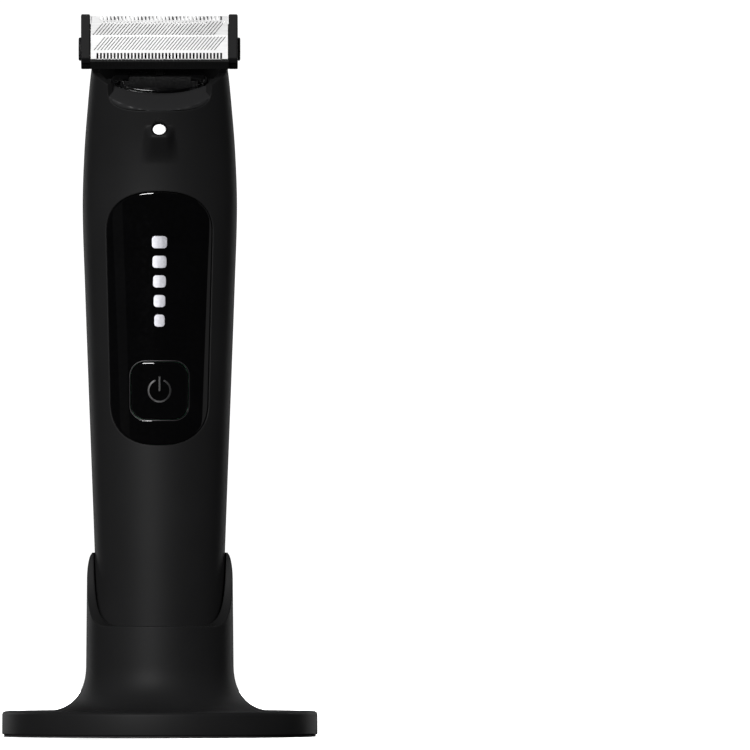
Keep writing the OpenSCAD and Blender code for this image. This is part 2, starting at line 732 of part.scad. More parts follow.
// ---------------------------------------------------------------- cutting head
side_x = 17.3;
spring_x = 10;
spring_z = 2.3;
cap_outline = concat(
  [[-5.9, 8.65], [-5.9, -2.4], [-4.6, -3.6]],
  [for (a = [225 : 15 : 390]) [5 * cos(a), 5 * sin(a)]],
  [[2.4, 5.6], [-1.9, 8.2], [-2.2, 8.65]]
);
bar_outline = [
  [-5.7, -2.65], [-5.7, -3.2], [-3.4, -5], [-1.9, -5],
  [-1.9, -4.3], [-2.6, -3.9], [-3.2, -3.42], [-3.84, -2.68]
];
seat_outline = [[-5.65, -2.6], [-5.65, 3.2], [-5, 4.9], [-1.9, 4.9], [-1.9, -2.6]];
ledge_outline = [[-3.6, 4.8], [-3.9, 6.2], [-2.3, 6.2], [-2.3, 4.8]];
module head_frame() {
  color(matte_black) at_pivot() difference() {
    union() {
      rod_x(barrel_r, -side_x, side_x);
      along_x(seat_outline, -side_x, side_x);
      along_x(ledge_outline, -side_x, side_x);
    }
    box([-16.8, 16.8], [-6, -4.1], [-2.7, 5]);
    mirrored_x() {
      rod_x(0.8 + fit, 11, 14.2);
      rod_x(2.4, 7.5, 11.35);
      box([7.4, 11.35], [-3.1, 6], [-6, 0]);
      difference() {
        rod_x(barrel_r + 1, -0.01, 7.5);
        rod_x(barrel_r - 0.6, -1, 8);
        box([-1, 8], [-6, 0], [-6, 6]);
      }
    }
    rod_x(2.9, -7.5, 7.5);
    box([-7.6, 7.6], [-3.1, 6], [-6, -0.4]);
    box([-4.6, 4.6], [-6, 0], [-2.2, 2.2]);
    mirrored_x() box([spring_x - 1.8, spring_x + 1.8], [-6, -2.9], [spring_z - 1.05, spring_z + 1.05]);
  }
}
module end_cap() {
  at_pivot() along_x(cap_outline, side_x + 0.1, head_w);
}
module end_cap_left() {
  color(matte_black) mirror([1, 0, 0]) end_cap();
}
module end_cap_right() {
  color(matte_black) end_cap();
}
module axle_caps() {
  color(gloss_black) mirrored_x() at_pivot() rod_x(2.9, head_w + 0.02, head_w + 0.65);
}
module comb_bar() {
  color(matte_black) at_pivot() along_x(bar_outline, -side_x, side_x);
}

// Thin plate that stands upright and leans back above its bend
bend_h = 3.25;
plate_top = 8.25;
lean = tan(20);
module bent_plate(y, t, z0, z1, w) {
  back = (z1 - bend_h) * lean;
  along_x(
    [[y, z0], [y, bend_h], [y + back, z1], [y + t + back, z1], [y + t, bend_h], [y + t, z0]],
    -w, w
  );
}
guard_slots = 37;
module guard_plate() {
  first = -(guard_slots - 1) / 2 * guard_pitch;
  color(white_metal) at_pivot() difference() {
    bent_plate(-6, 0.3, -2.5, plate_top, 17.1);
    for (i = [0 : guard_slots - 1]) {
      x = first + i * guard_pitch;
      box([x - 0.21, x + 0.21], [-7, -5], [-3, -1]);
      box([x - 0.24, x + 0.24], [-7, 0], [plate_top - 1.25, plate_top + 1]);
    }
  }
}
blade_slots = 32;
module moving_blade() {
  first = -(blade_slots - 1) / 2 * blade_pitch;
  color(steel) at_pivot() difference() {
    bent_plate(-5.6, 0.3, -2.2, plate_top - 0.25, 15.9);
    for (i = [0 : blade_slots - 1]) {
      x = first + i * blade_pitch;
      box([x - 0.28, x + 0.28], [-7, 0], [plate_top - 1.5, plate_top + 1]);
    }
  }
}
module blade_carrier() {
  color([0.85, 0.85, 0.83]) at_pivot() {
    box([-14, 14], [-5.25, -4.3], [-1.4, 3.2]);
    mirrored_x() box([1.35, 2.5], [-4.4, 1.1], [-1.2, 1.2]);
  }
}
module blade_springs() {
  color(steel) mirrored_x() at_pivot() for (i = [0 : 1])
    translate([spring_x, -3.3 - i * 0.5, spring_z]) rotate([90, 0, 0])
      rotate_extrude() translate([0.7, 0]) circle(r = 0.18, $fn = 16);
}

stand_body();
stand_weight();
stand_base_plate();
stand_screws();
stand_foot_pad();
front_shell();
rear_shell();
neck_collar();
bottom_cap();
cap_seal();
usb_socket();
display_panel();
level_bars();
display_board();
tact_switch();
circuit_board();
board_parts();
battery_cell();
battery_tabs();
chassis();
chassis_screws();
motor_can();
shaft_seal();
light_lens();
light_board();
tongue_pin();
release_spring();
power_button();
power_symbol();
release_tongue();
motor_shaft();
eccentric_cam();
head_carrier();
pivot_pins();
lever_pin();
float_spring();
drive_lever();
head_frame();
end_cap_left();
end_cap_right();
axle_caps();
guard_plate();
comb_bar();
moving_blade();
blade_carrier();
blade_springs();
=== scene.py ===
"""Looks of a body groomer with a floating T head in its cradle stand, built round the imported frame.

Shapes are worked out in millimetres in the frame's axes (+Z up, -Y the front) and put() turns them
into metres. A surface is a grid of points, each found from two parameters by a formula.
"""
import json
import math

import bpy
import numpy as np
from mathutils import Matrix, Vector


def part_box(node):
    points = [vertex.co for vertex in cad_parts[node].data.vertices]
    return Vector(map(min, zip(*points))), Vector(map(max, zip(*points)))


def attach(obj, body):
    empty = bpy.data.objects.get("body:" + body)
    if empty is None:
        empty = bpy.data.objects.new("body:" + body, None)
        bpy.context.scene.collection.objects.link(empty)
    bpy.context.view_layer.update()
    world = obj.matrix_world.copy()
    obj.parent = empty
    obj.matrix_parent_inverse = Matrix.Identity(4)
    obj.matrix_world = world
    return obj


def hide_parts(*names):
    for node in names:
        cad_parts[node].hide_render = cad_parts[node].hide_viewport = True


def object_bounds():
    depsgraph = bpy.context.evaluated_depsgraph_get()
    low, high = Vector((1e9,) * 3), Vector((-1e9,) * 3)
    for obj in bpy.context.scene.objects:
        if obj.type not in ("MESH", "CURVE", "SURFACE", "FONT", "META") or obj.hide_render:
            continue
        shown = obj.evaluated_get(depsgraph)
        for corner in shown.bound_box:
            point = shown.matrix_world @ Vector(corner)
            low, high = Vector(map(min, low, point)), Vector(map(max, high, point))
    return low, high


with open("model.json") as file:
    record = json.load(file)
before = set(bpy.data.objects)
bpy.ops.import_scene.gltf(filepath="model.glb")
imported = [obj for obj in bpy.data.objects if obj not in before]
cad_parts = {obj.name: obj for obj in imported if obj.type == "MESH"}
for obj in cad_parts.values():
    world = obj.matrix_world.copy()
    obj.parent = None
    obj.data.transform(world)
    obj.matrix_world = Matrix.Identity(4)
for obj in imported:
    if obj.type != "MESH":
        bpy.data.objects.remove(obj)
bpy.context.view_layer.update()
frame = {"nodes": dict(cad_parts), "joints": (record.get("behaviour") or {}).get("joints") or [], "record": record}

MM = 0.001
joints = {j["name"]: j for j in frame["joints"]}


def joint_place(name):
    return np.array(joints[name]["pos_m"]) / MM


def node_box(name):
    low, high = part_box(name)
    return np.array(low) / MM, np.array(high) / MM


# ---------------------------------------------------------------- camera
object_low, object_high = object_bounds()
view_centre = (object_low.z + object_high.z) / 2
camera_data = bpy.data.cameras.new("camera")
camera_data.lens = 1600
camera_data.sensor_width = 36
camera_data.clip_end = 50
camera = bpy.data.objects.new("camera", camera_data)
camera.location = (0.0538, -8.336, view_centre + 0.0002)
camera.rotation_euler = (math.pi / 2, 0, 0)
bpy.context.scene.collection.objects.link(camera)
bpy.context.scene.camera = camera
bpy.context.scene.view_settings.view_transform = "Standard"

# ---------------------------------------------------------------- mesh helpers


def grid_faces(rows, cols, first=0, wrap=False):
    """Four-cornered faces between neighbouring points of a rows by cols grid; wrap joins the last column to the
    first."""
    a = first + np.arange(rows * cols).reshape(rows, cols)
    if wrap:
        a = np.hstack([a, a[:, :1]])
    return np.stack([a[:-1, :-1], a[:-1, 1:], a[1:, 1:], a[1:, :-1]], -1).reshape(-1, 4)


def weld(points, faces, step=2e-4):
    """Joins points that share a place to within a step, and drops the faces that this closes up."""
    _, first, back = np.unique(np.round(points / step).astype(np.int64), axis=0, return_index=True,
                               return_inverse=True)
    faces = back.reshape(-1)[faces]
    same = faces == np.roll(faces, -1, axis=1)
    return points[first], faces[(same.sum(1) < 2) & (faces[:, 0] != faces[:, 2]) & (faces[:, 1] != faces[:, 3])]


def open_edges(faces):
    """Edges of the faces that no other face runs along the other way."""
    ends = np.stack([faces, np.roll(faces, -1, axis=1)], -1).reshape(-1, 2)
    ends = ends[ends[:, 0] != ends[:, 1]]
    size = int(faces.max()) + 1
    return ends[~np.isin(ends[:, 0] * size + ends[:, 1], ends[:, 1] * size + ends[:, 0])]


def walled(outer, inner, faces):
    """Closed wall between two surfaces with the same faces: the inner one turned round, and a strip along each open
    edge."""
    n = len(outer)
    edge = open_edges(faces)
    strip = np.stack([edge[:, 1], edge[:, 0], edge[:, 0] + n, edge[:, 1] + n], -1)
    return np.vstack([outer, inner]), np.vstack([faces, faces[:, ::-1] + n, strip])


def put(name, points, faces, body, slot, finish, replaces=(), sharp=32, bevel=0):
    """Puts a surface into a mesh object that rides on a body. The sum of each face's signed volume tells which way
    the faces point, and they are turned outwards."""
    points, faces = weld(np.asarray(points, float), np.asarray(faces))
    corner = points[faces]
    volume = (np.cross(corner[:, 0], corner[:, 1]) * corner[:, 2]).sum() + (np.cross(corner[:, 0],
            corner[:, 2]) * corner[:, 3]).sum()
    if volume < 0:
        faces = faces[:, ::-1]
    polygons = [list(dict.fromkeys(f)) for f in faces.tolist()]
    mesh = bpy.data.meshes.new(name)
    mesh.from_pydata((points * MM).tolist(), [], polygons)
    mesh.polygons.foreach_set("use_smooth", np.ones(len(polygons), bool))
    mesh.set_sharp_from_angle(angle=math.radians(sharp))
    mesh.materials.append(finish)
    piece = bpy.data.objects.new(name, mesh)
    bpy.context.scene.collection.objects.link(piece)
    if bevel:
        rounding = piece.modifiers.new("edge_round", "BEVEL")
        rounding.width = bevel * MM
        rounding.segments = 3
        rounding.limit_method = "ANGLE"
        rounding.angle_limit = math.radians(28)
        rounding.harden_normals = True
    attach(piece, body)
    if replaces:
        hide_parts(*replaces)
    return piece


def join(*parts):
    """Several (points, faces) surfaces as one."""
    points, faces, n = [], [], 0
    for p, f in parts:
        points.append(np.asarray(p, float).reshape(-1, 3))
        faces.append(np.asarray(f) + n)
        n += len(points[-1])
    return np.vstack(points), np.vstack(faces)


def mirror_x(part):
    """The same surface on the other side: x changes sign, and the faces turn round to stay outwards."""
    points, faces = part
    return points * [-1, 1, 1], faces[:, ::-1]


def distance_to(points, line, closed=False):
    """Distance of each plane point from a line of points: the least over its straight pieces."""
    a = line
    b = np.roll(line, -1, axis=0)
    if not closed:
        a, b = a[:-1], b[:-1]
    out = np.full(len(points), 1e9)
    span = b - a
    long = np.maximum((span ** 2).sum(1), 1e-12)
    for k in range(0, len(points), 4000):
        p = points[k:k + 4000, None]
        t = np.clip(((p - a) * span).sum(-1) / long, 0, 1)
        out[k:k + 4000] = np.sqrt((((a + t[..., None] * span) - p) ** 2).sum(-1)).min(1)
    return out


def round_drop(distance, radius):
    """Depth of a rounded edge at a distance from it: a quarter circle of that radius."""
    d = np.clip(radius - distance, 0, radius)
    return radius - np.sqrt(radius ** 2 - d ** 2)


def evenly(line, count, weight=None):
    """Points at even steps along a line of points, or at even steps of a weight on its length."""
    length = np.sqrt((np.diff(line, axis=0) ** 2).sum(1))
    if weight is not None:
        length = length * weight[1:]
    along = np.concatenate([[0], np.cumsum(length)])
    s = np.linspace(0, along[-1], count)
    return np.stack([np.interp(s, along, line[:, k]) for k in range(line.shape[1])], -1)


def holed_grid(plane, rows, cols, outline, near, steps):
    """Grid of plane points without the block of cells between rows and cols. Rings of points run from the
    block's edge towards the outline's middle and end on it; the first few lie near it, for its rounded edge.
    Returns the points, the faces, and which points are the outline's own loop."""
    (i0, i1), (j0, j1) = rows, cols
    n, m = plane.shape[:2]
    index = np.arange(n * m).reshape(n, m)
    faces = grid_faces(n, m).reshape(n - 1, m - 1, 4)
    keep = np.ones((n - 1, m - 1), bool)
    keep[i0:i1, j0:j1] = False
    loop = np.concatenate([index[i0, j0:j1], index[i0:i1, j1], index[i1, j1:j0:-1], index[i1:i0:-1, j0]])
    flat = plane.reshape(-1, 2)
    outer = flat[loop]

    def turn(points, box):
        middle, half = (box.max(0) + box.min(0)) / 2, (box.max(0) - box.min(0)) / 2
        return np.arctan2(*((points - middle) / half).T[::-1])

    angle = turn(outline, outline)
    order = np.argsort(angle)
    angle, line = angle[order], outline[order]
    angle = np.concatenate([angle - 2 * np.pi, angle, angle + 2 * np.pi])
    line = np.vstack([line] * 3)
    at = turn(outer, outer)
    inner = np.stack([np.interp(at, angle, line[:, k]) for k in range(2)], -1)
    way = outer - inner
    gap = np.sqrt((way ** 2).sum(1))[:, None]
    way = way / gap
    rings = [inner + way * d for d in near]
    rings += [rings[-1] + (outer - rings[-1]) * s for s in np.linspace(0, 1, steps + 1)[1:-1]]
    count, size = len(rings), len(loop)
    ids = np.vstack([n * m + np.arange(count * size).reshape(count, size), loop[None]])
    ids = np.hstack([ids, ids[:, :1]])
    ring_faces = np.stack([ids[:-1, :-1], ids[1:, :-1], ids[1:, 1:], ids[:-1, 1:]], -1).reshape(-1, 4)
    points = np.vstack([flat] + rings)
    return points, np.vstack([faces[keep].reshape(-1, 4), ring_faces]), ids[0, :-1]


def cup(points, loop, shrink, first):
    """Rings inside a closed loop of plane points, each the loop shrunk about its middle, and the faces between
    them."""
    edge = points[loop]
    middle = (edge.max(0) + edge.min(0)) / 2
    rings = [middle + (edge - middle) * s for s in shrink]
    size = len(loop)
    ids = np.vstack([loop[None], first + np.arange(len(rings) * size).reshape(-1, size)])
    ids = np.hstack([ids, ids[:, :1]])
    faces = np.stack([ids[1:, :-1], ids[:-1, :-1], ids[:-1, 1:], ids[1:, 1:]], -1).reshape(-1, 4)
    return np.vstack(rings), faces


def corner(w, h, n, power):
    """Quarter of a superellipse from its side to its end."""
    a = np.linspace(0, math.pi / 2, n + 1)
    return np.stack([w * np.cos(a) ** (2 / power), h * np.sin(a) ** (2 / power)], -1)


def rounded_box(w, z0, z1, r, n=10):
    """Upright rectangle with round corners, as a closed line of x and z."""
    out = []
    for cx, cz, start in ((w - r, z1 - r, 0), (r - w, z1 - r, 90), (r - w, z0 + r, 180), (w - r, z0 + r, 270)):
        a = np.radians(start + np.linspace(0, 90, n + 1))
        out.append(np.stack([cx + r * np.cos(a), cz + r * np.sin(a)], -1))
    line = np.vstack(out)
    return evenly(np.vstack([line, line[:1]]), 400)[:-1]


def prism_x(outline, x0, x1):
    """Outline of y and z carried along x, with a fan to its middle at each end."""
    outline = np.asarray(outline, float)
    n = len(outline)
    ends = [np.column_stack([np.full(n, x), outline]) for x in (x0, x1)]
    middle = outline.mean(0)
    points = np.vstack(ends + [[[x0, *middle], [x1, *middle]]])
    a = np.arange(n)
    b = (a + 1) % n
    side = np.stack([a, b, b + n, a + n], -1)
    caps = np.vstack([np.stack([b, a, np.full(n, 2 * n), np.full(n, 2 * n)], -1),
                      np.stack([a + n, b + n, np.full(n, 2 * n + 1), np.full(n, 2 * n + 1)], -1)])
    return points, np.vstack([side, caps])


def turned(profile, centre, axis, n=64):
    """Profile of [radius, height along the axis] turned once round an axis through a centre."""
    profile = np.asarray(profile, float)
    axis = np.asarray(axis, float) / np.linalg.norm(axis)
    side = np.cross(axis, [1, 0, 0] if abs(axis[0]) < 0.9 else [0, 1, 0])
    side /= np.linalg.norm(side)
    other = np.cross(axis, side)
    a = np.linspace(0, 2 * math.pi, n, endpoint=False)
    round_ = np.cos(a)[:, None] * side + np.sin(a)[:, None] * other
    points = np.asarray(centre) + profile[:, 0, None, None] * round_ + profile[:, 1, None, None] * axis
    return points.reshape(-1, 3), grid_faces(len(profile), n, wrap=True)


# ---------------------------------------------------------------- finishes


def finish_of(name, dark, light, rough, grain, bump, metallic=0.0, coat=0.0, stretch=(1, 1, 1), specular=0.5,
              blotch=60):
    """Moulded or metal finish: the colour wanders between two tones with a fine grain and a slow blotch, the grain
    roughens and lifts the surface."""
    m = bpy.data.materials.new(name)
    m.use_nodes = True
    nodes, links = m.node_tree.nodes, m.node_tree.links
    shader = nodes["Principled BSDF"]
    place = nodes.new("ShaderNodeTexCoord")
    lay = nodes.new("ShaderNodeMapping")
    lay.inputs["Scale"].default_value = stretch
    links.new(place.outputs["Object"], lay.inputs["Vector"])
    fine = nodes.new("ShaderNodeTexNoise")
    fine.inputs["Scale"].default_value = grain
    fine.inputs["Detail"].default_value = 3
    links.new(lay.outputs["Vector"], fine.inputs["Vector"])
    slow = nodes.new("ShaderNodeTexNoise")
    slow.inputs["Scale"].default_value = blotch
    slow.inputs["Detail"].default_value = 2
    links.new(place.outputs["Object"], slow.inputs["Vector"])
    blend = nodes.new("ShaderNodeMath")
    blend.operation = "MULTIPLY_ADD"
    blend.inputs[1].default_value = 0.5
    links.new(fine.outputs["Fac"], blend.inputs[0])
    half = nodes.new("ShaderNodeMath")
    half.operation = "MULTIPLY"
    half.inputs[1].default_value = 0.5
    links.new(slow.outputs["Fac"], half.inputs[0])
    links.new(half.outputs[0], blend.inputs[2])
    tone = nodes.new("ShaderNodeValToRGB")
    tone.color_ramp.elements[0].position = 0.35
    tone.color_ramp.elements[1].position = 0.65
    tone.color_ramp.elements[0].color = (*dark, 1)
    tone.color_ramp.elements[1].color = (*light, 1)
    links.new(blend.outputs[0], tone.inputs["Fac"])
    links.new(tone.outputs["Color"], shader.inputs["Base Color"])
    spread = nodes.new("ShaderNodeMapRange")
    spread.inputs["From Min"].default_value = 0.3
    spread.inputs["From Max"].default_value = 0.7
    spread.inputs["To Min"].default_value = rough[0]
    spread.inputs["To Max"].default_value = rough[1]
    links.new(fine.outputs["Fac"], spread.inputs["Value"])
    links.new(spread.outputs["Result"], shader.inputs["Roughness"])
    if bump:
        lift = nodes.new("ShaderNodeBump")
        lift.inputs["Strength"].default_value = 1
        lift.inputs["Distance"].default_value = bump * MM
        links.new(fine.outputs["Fac"], lift.inputs["Height"])
        links.new(lift.outputs["Normal"], shader.inputs["Normal"])
    shader.inputs["Metallic"].default_value = metallic
    shader.inputs["Specular IOR Level"].default_value = specular
    shader.inputs["Coat Weight"].default_value = coat
    shader.inputs["Coat Roughness"].default_value = 0.04
    return m


# dark tone, light tone, roughness range, grain per metre, grain height in mm, and what else differs from a plain
# moulding
FINISHES = {
    "matte_black": ((0.0068, 0.0068, 0.0070), (0.0086, 0.0086, 0.0089), (0.5, 0.6), 5200, 0.004, dict(specular=0.1)),
    "rib_black": ((0.0068, 0.0068, 0.0070), (0.0086, 0.0086, 0.0089), (0.5, 0.6), 5200, 0.004, dict(specular=0.1)),
    "stand_black": ((0.0068, 0.0068, 0.0070), (0.0086, 0.0086, 0.0089), (0.5, 0.6), 4200, 0.005, dict(specular=0.1)),
    "glass_black": ((0.0008, 0.0008, 0.0009), (0.0014, 0.0014, 0.0016), (0.03, 0.06), 900, 0, dict(coat=0.6)),
    "gloss_black": ((0.0008, 0.0008, 0.0009), (0.0013, 0.0013, 0.0015), (0.1, 0.16), 2600, 0.001, dict(coat=0.3)),
    "rubber_black": ((0.012, 0.012, 0.012), (0.018, 0.018, 0.018), (0.75, 0.9), 3000, 0.01, dict(specular=0.3)),
    "steel": ((0.52, 0.53, 0.55), (0.62, 0.63, 0.65), (0.22, 0.36), 2400, 0.001,
              dict(metallic=1.0, stretch=(0.06, 1, 1))),
    "guard_white": ((0.56, 0.56, 0.56), (0.68, 0.68, 0.68), (0.38, 0.5), 3200, 0.001,
                    dict(metallic=0.2, stretch=(0.08, 1, 1))),
    "blade_steel": ((0.05, 0.05, 0.052), (0.08, 0.08, 0.082), (0.3, 0.42), 2800, 0.001,
                    dict(metallic=0.5, stretch=(1, 1, 0.08))),
    "silver_mark": ((0.34, 0.34, 0.37), (0.46, 0.46, 0.49), (0.3, 0.4), 1800, 0, dict(metallic=0.6)),
    # dim strip: the power mark's own tone, and painted groove shade round the button
    "dim_mark_and_groove_shade": ((0.006, 0.006, 0.0065), (0.009, 0.009, 0.0095), (0.4, 0.5), 1800, 0, dict()),
    "board_green": ((0.02, 0.13, 0.06), (0.035, 0.19, 0.09), (0.35, 0.5), 700, 0.004, dict()),
    "chip_black": ((0.02, 0.02, 0.02), (0.035, 0.035, 0.035), (0.5, 0.65), 2500, 0.004, dict()),
    "cell_blue": ((0.05, 0.12, 0.33), (0.08, 0.17, 0.42), (0.2, 0.3), 300, 0, dict(coat=0.3)),
    "inner_grey": ((0.08, 0.08, 0.085), (0.12, 0.12, 0.125), (0.5, 0.6), 2000, 0.004, dict()),
    "acetal_white": ((0.7, 0.7, 0.68), (0.8, 0.8, 0.78), (0.4, 0.5), 1200, 0.002, dict()),
    # near-black plastic: painted shade for parts deep in the neck
    "painted_shade_plastic": ((0.002, 0.002, 0.002), (0.003, 0.003, 0.003), (0.5, 0.6), 1200, 0.002, dict()),
    # collar: the same black moulding painted lighter, painted light standing in for the light from above on the
    # crescent's upward slope
    "collar_painted_light": ((0.0125, 0.0125, 0.013), (0.0155, 0.0155, 0.016), (0.45, 0.55), 5200, 0.003, dict(specular=0.2)),
    # near-black steel: painted shade for the springs and pin deep in the neck, hiding their highlights
    "painted_shade_steel": ((0.03, 0.03, 0.03), (0.05, 0.05, 0.05), (0.4, 0.5), 2400, 0, dict(metallic=0.6)),
    "lens_white": ((0.9, 0.9, 0.9), (0.97, 0.97, 0.97), (0.35, 0.45), 1600, 0.01, dict(specular=0.5)),
}
finishes = {name: finish_of(name, *row[:5], **row[5]) for name, row in FINISHES.items()}
# Painted light: the white lens gets a faint glow of its own, which makes it brighter than the lamps alone do.
lens_painted_glow = finishes["lens_white"].node_tree.nodes["Principled BSDF"]
lens_painted_glow.inputs["Emission Color"].default_value = (1, 1, 1, 1)
lens_painted_glow.inputs["Emission Strength"].default_value = 0.25

slot_finish = {
    "matte_black": finishes["matte_black"], "gloss_black": finishes["gloss_black"],
    "rubber": finishes["rubber_black"], "steel": finishes["steel"],
    "guard_metal": finishes["guard_white"], "blade_steel": finishes["blade_steel"],
    "silver_mark": finishes["silver_mark"], "board": finishes["board_green"],
    "chip": finishes["chip_black"], "cell_wrap": finishes["cell_blue"], "inner_plastic": finishes["inner_grey"],
    "white_plastic": finishes["acetal_white"],
    "lens": finishes["lens_white"],
}
for part in frame["record"]["subparts"]:
    solid = frame["nodes"][part["node"]]
    for place in solid.material_slots:
        place.material = slot_finish[part["material_slot"]]
# The blade carrier, lever, springs and pin are painted near-black: painted shade standing in for the shade deep in
# the neck, which hides them and their highlights.
for name, look in (
        ("blade_carrier", "painted_shade_plastic"), ("drive_lever", "painted_shade_plastic"), ("neck_collar", "collar_painted_light"),
        ("blade_springs", "painted_shade_steel"), ("float_spring", "painted_shade_steel"), ("lever_pin", "painted_shade_steel")):
    for place in frame["nodes"][name].material_slots:
        place.material = finishes[look]

# ---------------------------------------------------------------- handle outline

width_keys = [[10, 15.15], [46, 16.3], [90, 17.93], [112, 18.72], [132, 19.32], [146, 18.88], [158, 17.95],
              [166.5, 17.08], [169.5, 16.45], [171.3, 15.85], [172.2, 15.3]]
front_keys = [[10, -14.2], [46, -15.3], [90, -15.7], [130, -15.45], [142, -16.2], [152, -18.1], [172.2, -24.1]]
rear_keys = [[10, 14.2], [46, 15.3], [90, 15.7], [122, 15.3], [136, 13.9], [148, 11], [160, 6.6], [172.2, 2.5]]
AROUND = 17.0
WALL = 1.8


def curve(keys, z):
    """Smooth line through [height, value] keys: a cubic between each two, whose slope at a key is the slope between
    its neighbours."""
    k, v = np.asarray(keys, float).T
    n = len(k)
    low, high = np.maximum(np.arange(n) - 1, 0), np.minimum(np.arange(n) + 1, n - 1)
    slope = (v[high] - v[low]) / (k[high] - k[low])
    z = np.asarray(z, float)
    i = np.clip(np.searchsorted(k, z, side="left") - 1, 0, n - 2)
    h = k[i + 1] - k[i]
    t = np.clip((z - k[i]) / h, 0, 1)
    return (v[i] * (2 * t ** 3 - 3 * t ** 2 + 1) + slope[i] * h * (t ** 3 - 2 * t ** 2 + t)
            + v[i + 1] * (3 * t ** 2 - 2 * t ** 3) + slope[i + 1] * h * (t ** 3 - t ** 2))


def half_width(z):
    return curve(width_keys, z)


def middle_y(z):
    return (curve(front_keys, z) + curve(rear_keys, z)) / 2


def half_depth(z):
    return (curve(rear_keys, z) - curve(front_keys, z)) / 2


def surface_y(x, z, side):
    """The handle's skin at a place across it: an ellipse over its width, in front (side -1) or behind (side 1)."""
    return middle_y(z) + side * half_depth(z) * np.sqrt(np.maximum(1 - (x / half_width(z)) ** 2, 0))


def on_handle(u, z, inset, side):
    """The same ellipse by the length u round it from its middle line."""
    a = u / AROUND
    return np.stack([(half_width(z) - inset) * np.sin(a), middle_y(z) + side * (half_depth(z) - inset) * np.cos(a),
                     z], -1)


def round_from_x(x, z):
    """Length round the ellipse from its middle line, from the arcsine of x over the half width."""
    return AROUND * np.arcsin(np.clip(x / half_width(z), -1, 1))


EDGE_U = AROUND * math.pi / 2 - 0.05
near_edge = [0, 0.04, 0.09, 0.16, 0.25, 0.5]


def rows_to(low, tops, count, near=(0.45, 0.25, 0.14, 0.07, 0.03, 0)):
    """Heights of count rows from a level line up to a curved top, with the last few at set distances below it."""
    share = np.linspace(0, 1, count)[:, None]
    body = low + (tops - near[0] - low) * share
    return np.vstack([body] + [tops - d for d in near[1:]])


def both_sides(line):
    """Adds the left half to a line of x and z that runs from the middle to the right."""
    return np.vstack([(line * [-1, 1])[::-1], line[1:] if abs(line[0, 0]) < 1e-9 else line])


def to_round(line):
    """Turns each point's x into its length round the handle."""
    return np.stack([round_from_x(line[:, 0], line[:, 1]), line[:, 1]], -1)


shell_z0 = node_box("front_shell")[0][2]
rear_top = node_box("rear_shell")[1][2]

# ---------------------------------------------------------------- panel outline
panel_low, panel_high = node_box("display_panel")[0][2], node_box("display_panel")[1][2]
PANEL_TOP_W, PANEL_LOW_W, PANEL_TOP_R, PANEL_LOW_R = 13.3, 12.3, 10.0, 11.0


def panel_outline(grow, count=480):
    """Tall panel: two superellipse ends joined by straight, slightly leaning sides."""
    low = corner(PANEL_LOW_W + grow, PANEL_LOW_R + grow, 24, 2.4)[::-1] * [1, -1] + [0, panel_low + PANEL_LOW_R]
    top = corner(PANEL_TOP_W + grow, PANEL_TOP_R + grow, 24, 2.4) + [0, panel_high - PANEL_TOP_R]
    right = np.vstack([low, top])
    line = np.vstack([right, (right * [-1, 1])[::-1]])
    return evenly(line, count + 1)[:-1]


# ---------------------------------------------------------------- torch
torch_way = np.array([0, -math.cos(math.radians(38.7)), math.sin(math.radians(38.7))])
lens_low, lens_high = node_box("light_lens")
torch_face = (lens_low + lens_high) / 2 + torch_way * 0.725


def torch_bump(x, y, z):
    """Swells the shell round the torch: out to the plane of its face, fading below over 7 mm as a cubic and to each
    side as another."""
    rise, run = torch_way[2], -torch_way[1]
    face = torch_face[1] + rise / run * (z - torch_face[2])
    lip = torch_face[2] - 1.75
    s = np.clip((lip - z) / 7, 0, 1)
    most = 2.75 * (1 - s) ** 2 * (1 + 1.2 * s)
    swell = np.maximum(y - face, 0)
    h = np.clip(0.5 + 0.5 * (most - swell) / 0.7, 0, 1)
    swell = most * (1 - h) + swell * h - 0.7 * h * (1 - h)
    side = np.clip((np.sqrt(x ** 2 + 0.5 * np.maximum(z - torch_face[2] + 0.8, 0) ** 2) - 1.75) / (2.3 + 1.4 * s), 0,
                   1)
    return y - np.maximum(swell, 0) * (1 - side) ** 2 * (1 + 2 * side)


def bumped(points):
    """Applies the torch's swelling to points of the front skin."""
    near = (np.abs(points[:, 0]) < 6) & (points[:, 2] > 138) & (points[:, 2] < 156)
    points = points.copy()
    points[near, 1] = torch_bump(*points[near].T)
    return points


def torch_mouth(radius, n=96):
    """Where a round bore along the torch's axis meets the front skin: each bore line is followed until it reaches
    the skin."""
    a = np.linspace(0, 2 * math.pi, n, endpoint=False)
    up = np.array([0, torch_way[2], -torch_way[1]])
    start = torch_face + radius * (np.cos(a)[:, None] * np.array([1.0, 0, 0]) + np.sin(a)[:, None] * up)
    t = np.zeros(n)
    for _ in range(25):
        at = start + t[:, None] * torch_way
        skin = bumped(np.stack([at[:, 0], surface_y(at[:, 0], at[:, 2], -1), at[:, 2]], -1))[:, 1]
        t = t + 0.6 * (at[:, 1] - skin)
    at = start + t[:, None] * torch_way
    return np.stack([round_from_x(at[:, 0], at[:, 2]), at[:, 2]], -1)


# ---------------------------------------------------------------- front shell


def notch_line():
    """Top edge of the front shell: a flat-bottomed superellipse notch, then an ear that rises to the side."""
    dip = (corner(13, 6.75, 60, 3.4)[::-1] * [1, -1]) + [0, 163]
    ear = np.array([[13.35, 163.15], [13.9, 163.6], [15.3, 164.6], [16.5, 165.8], [16.95, 166.6], [17.0, 167.2]])
    return np.vstack([dip, ear])


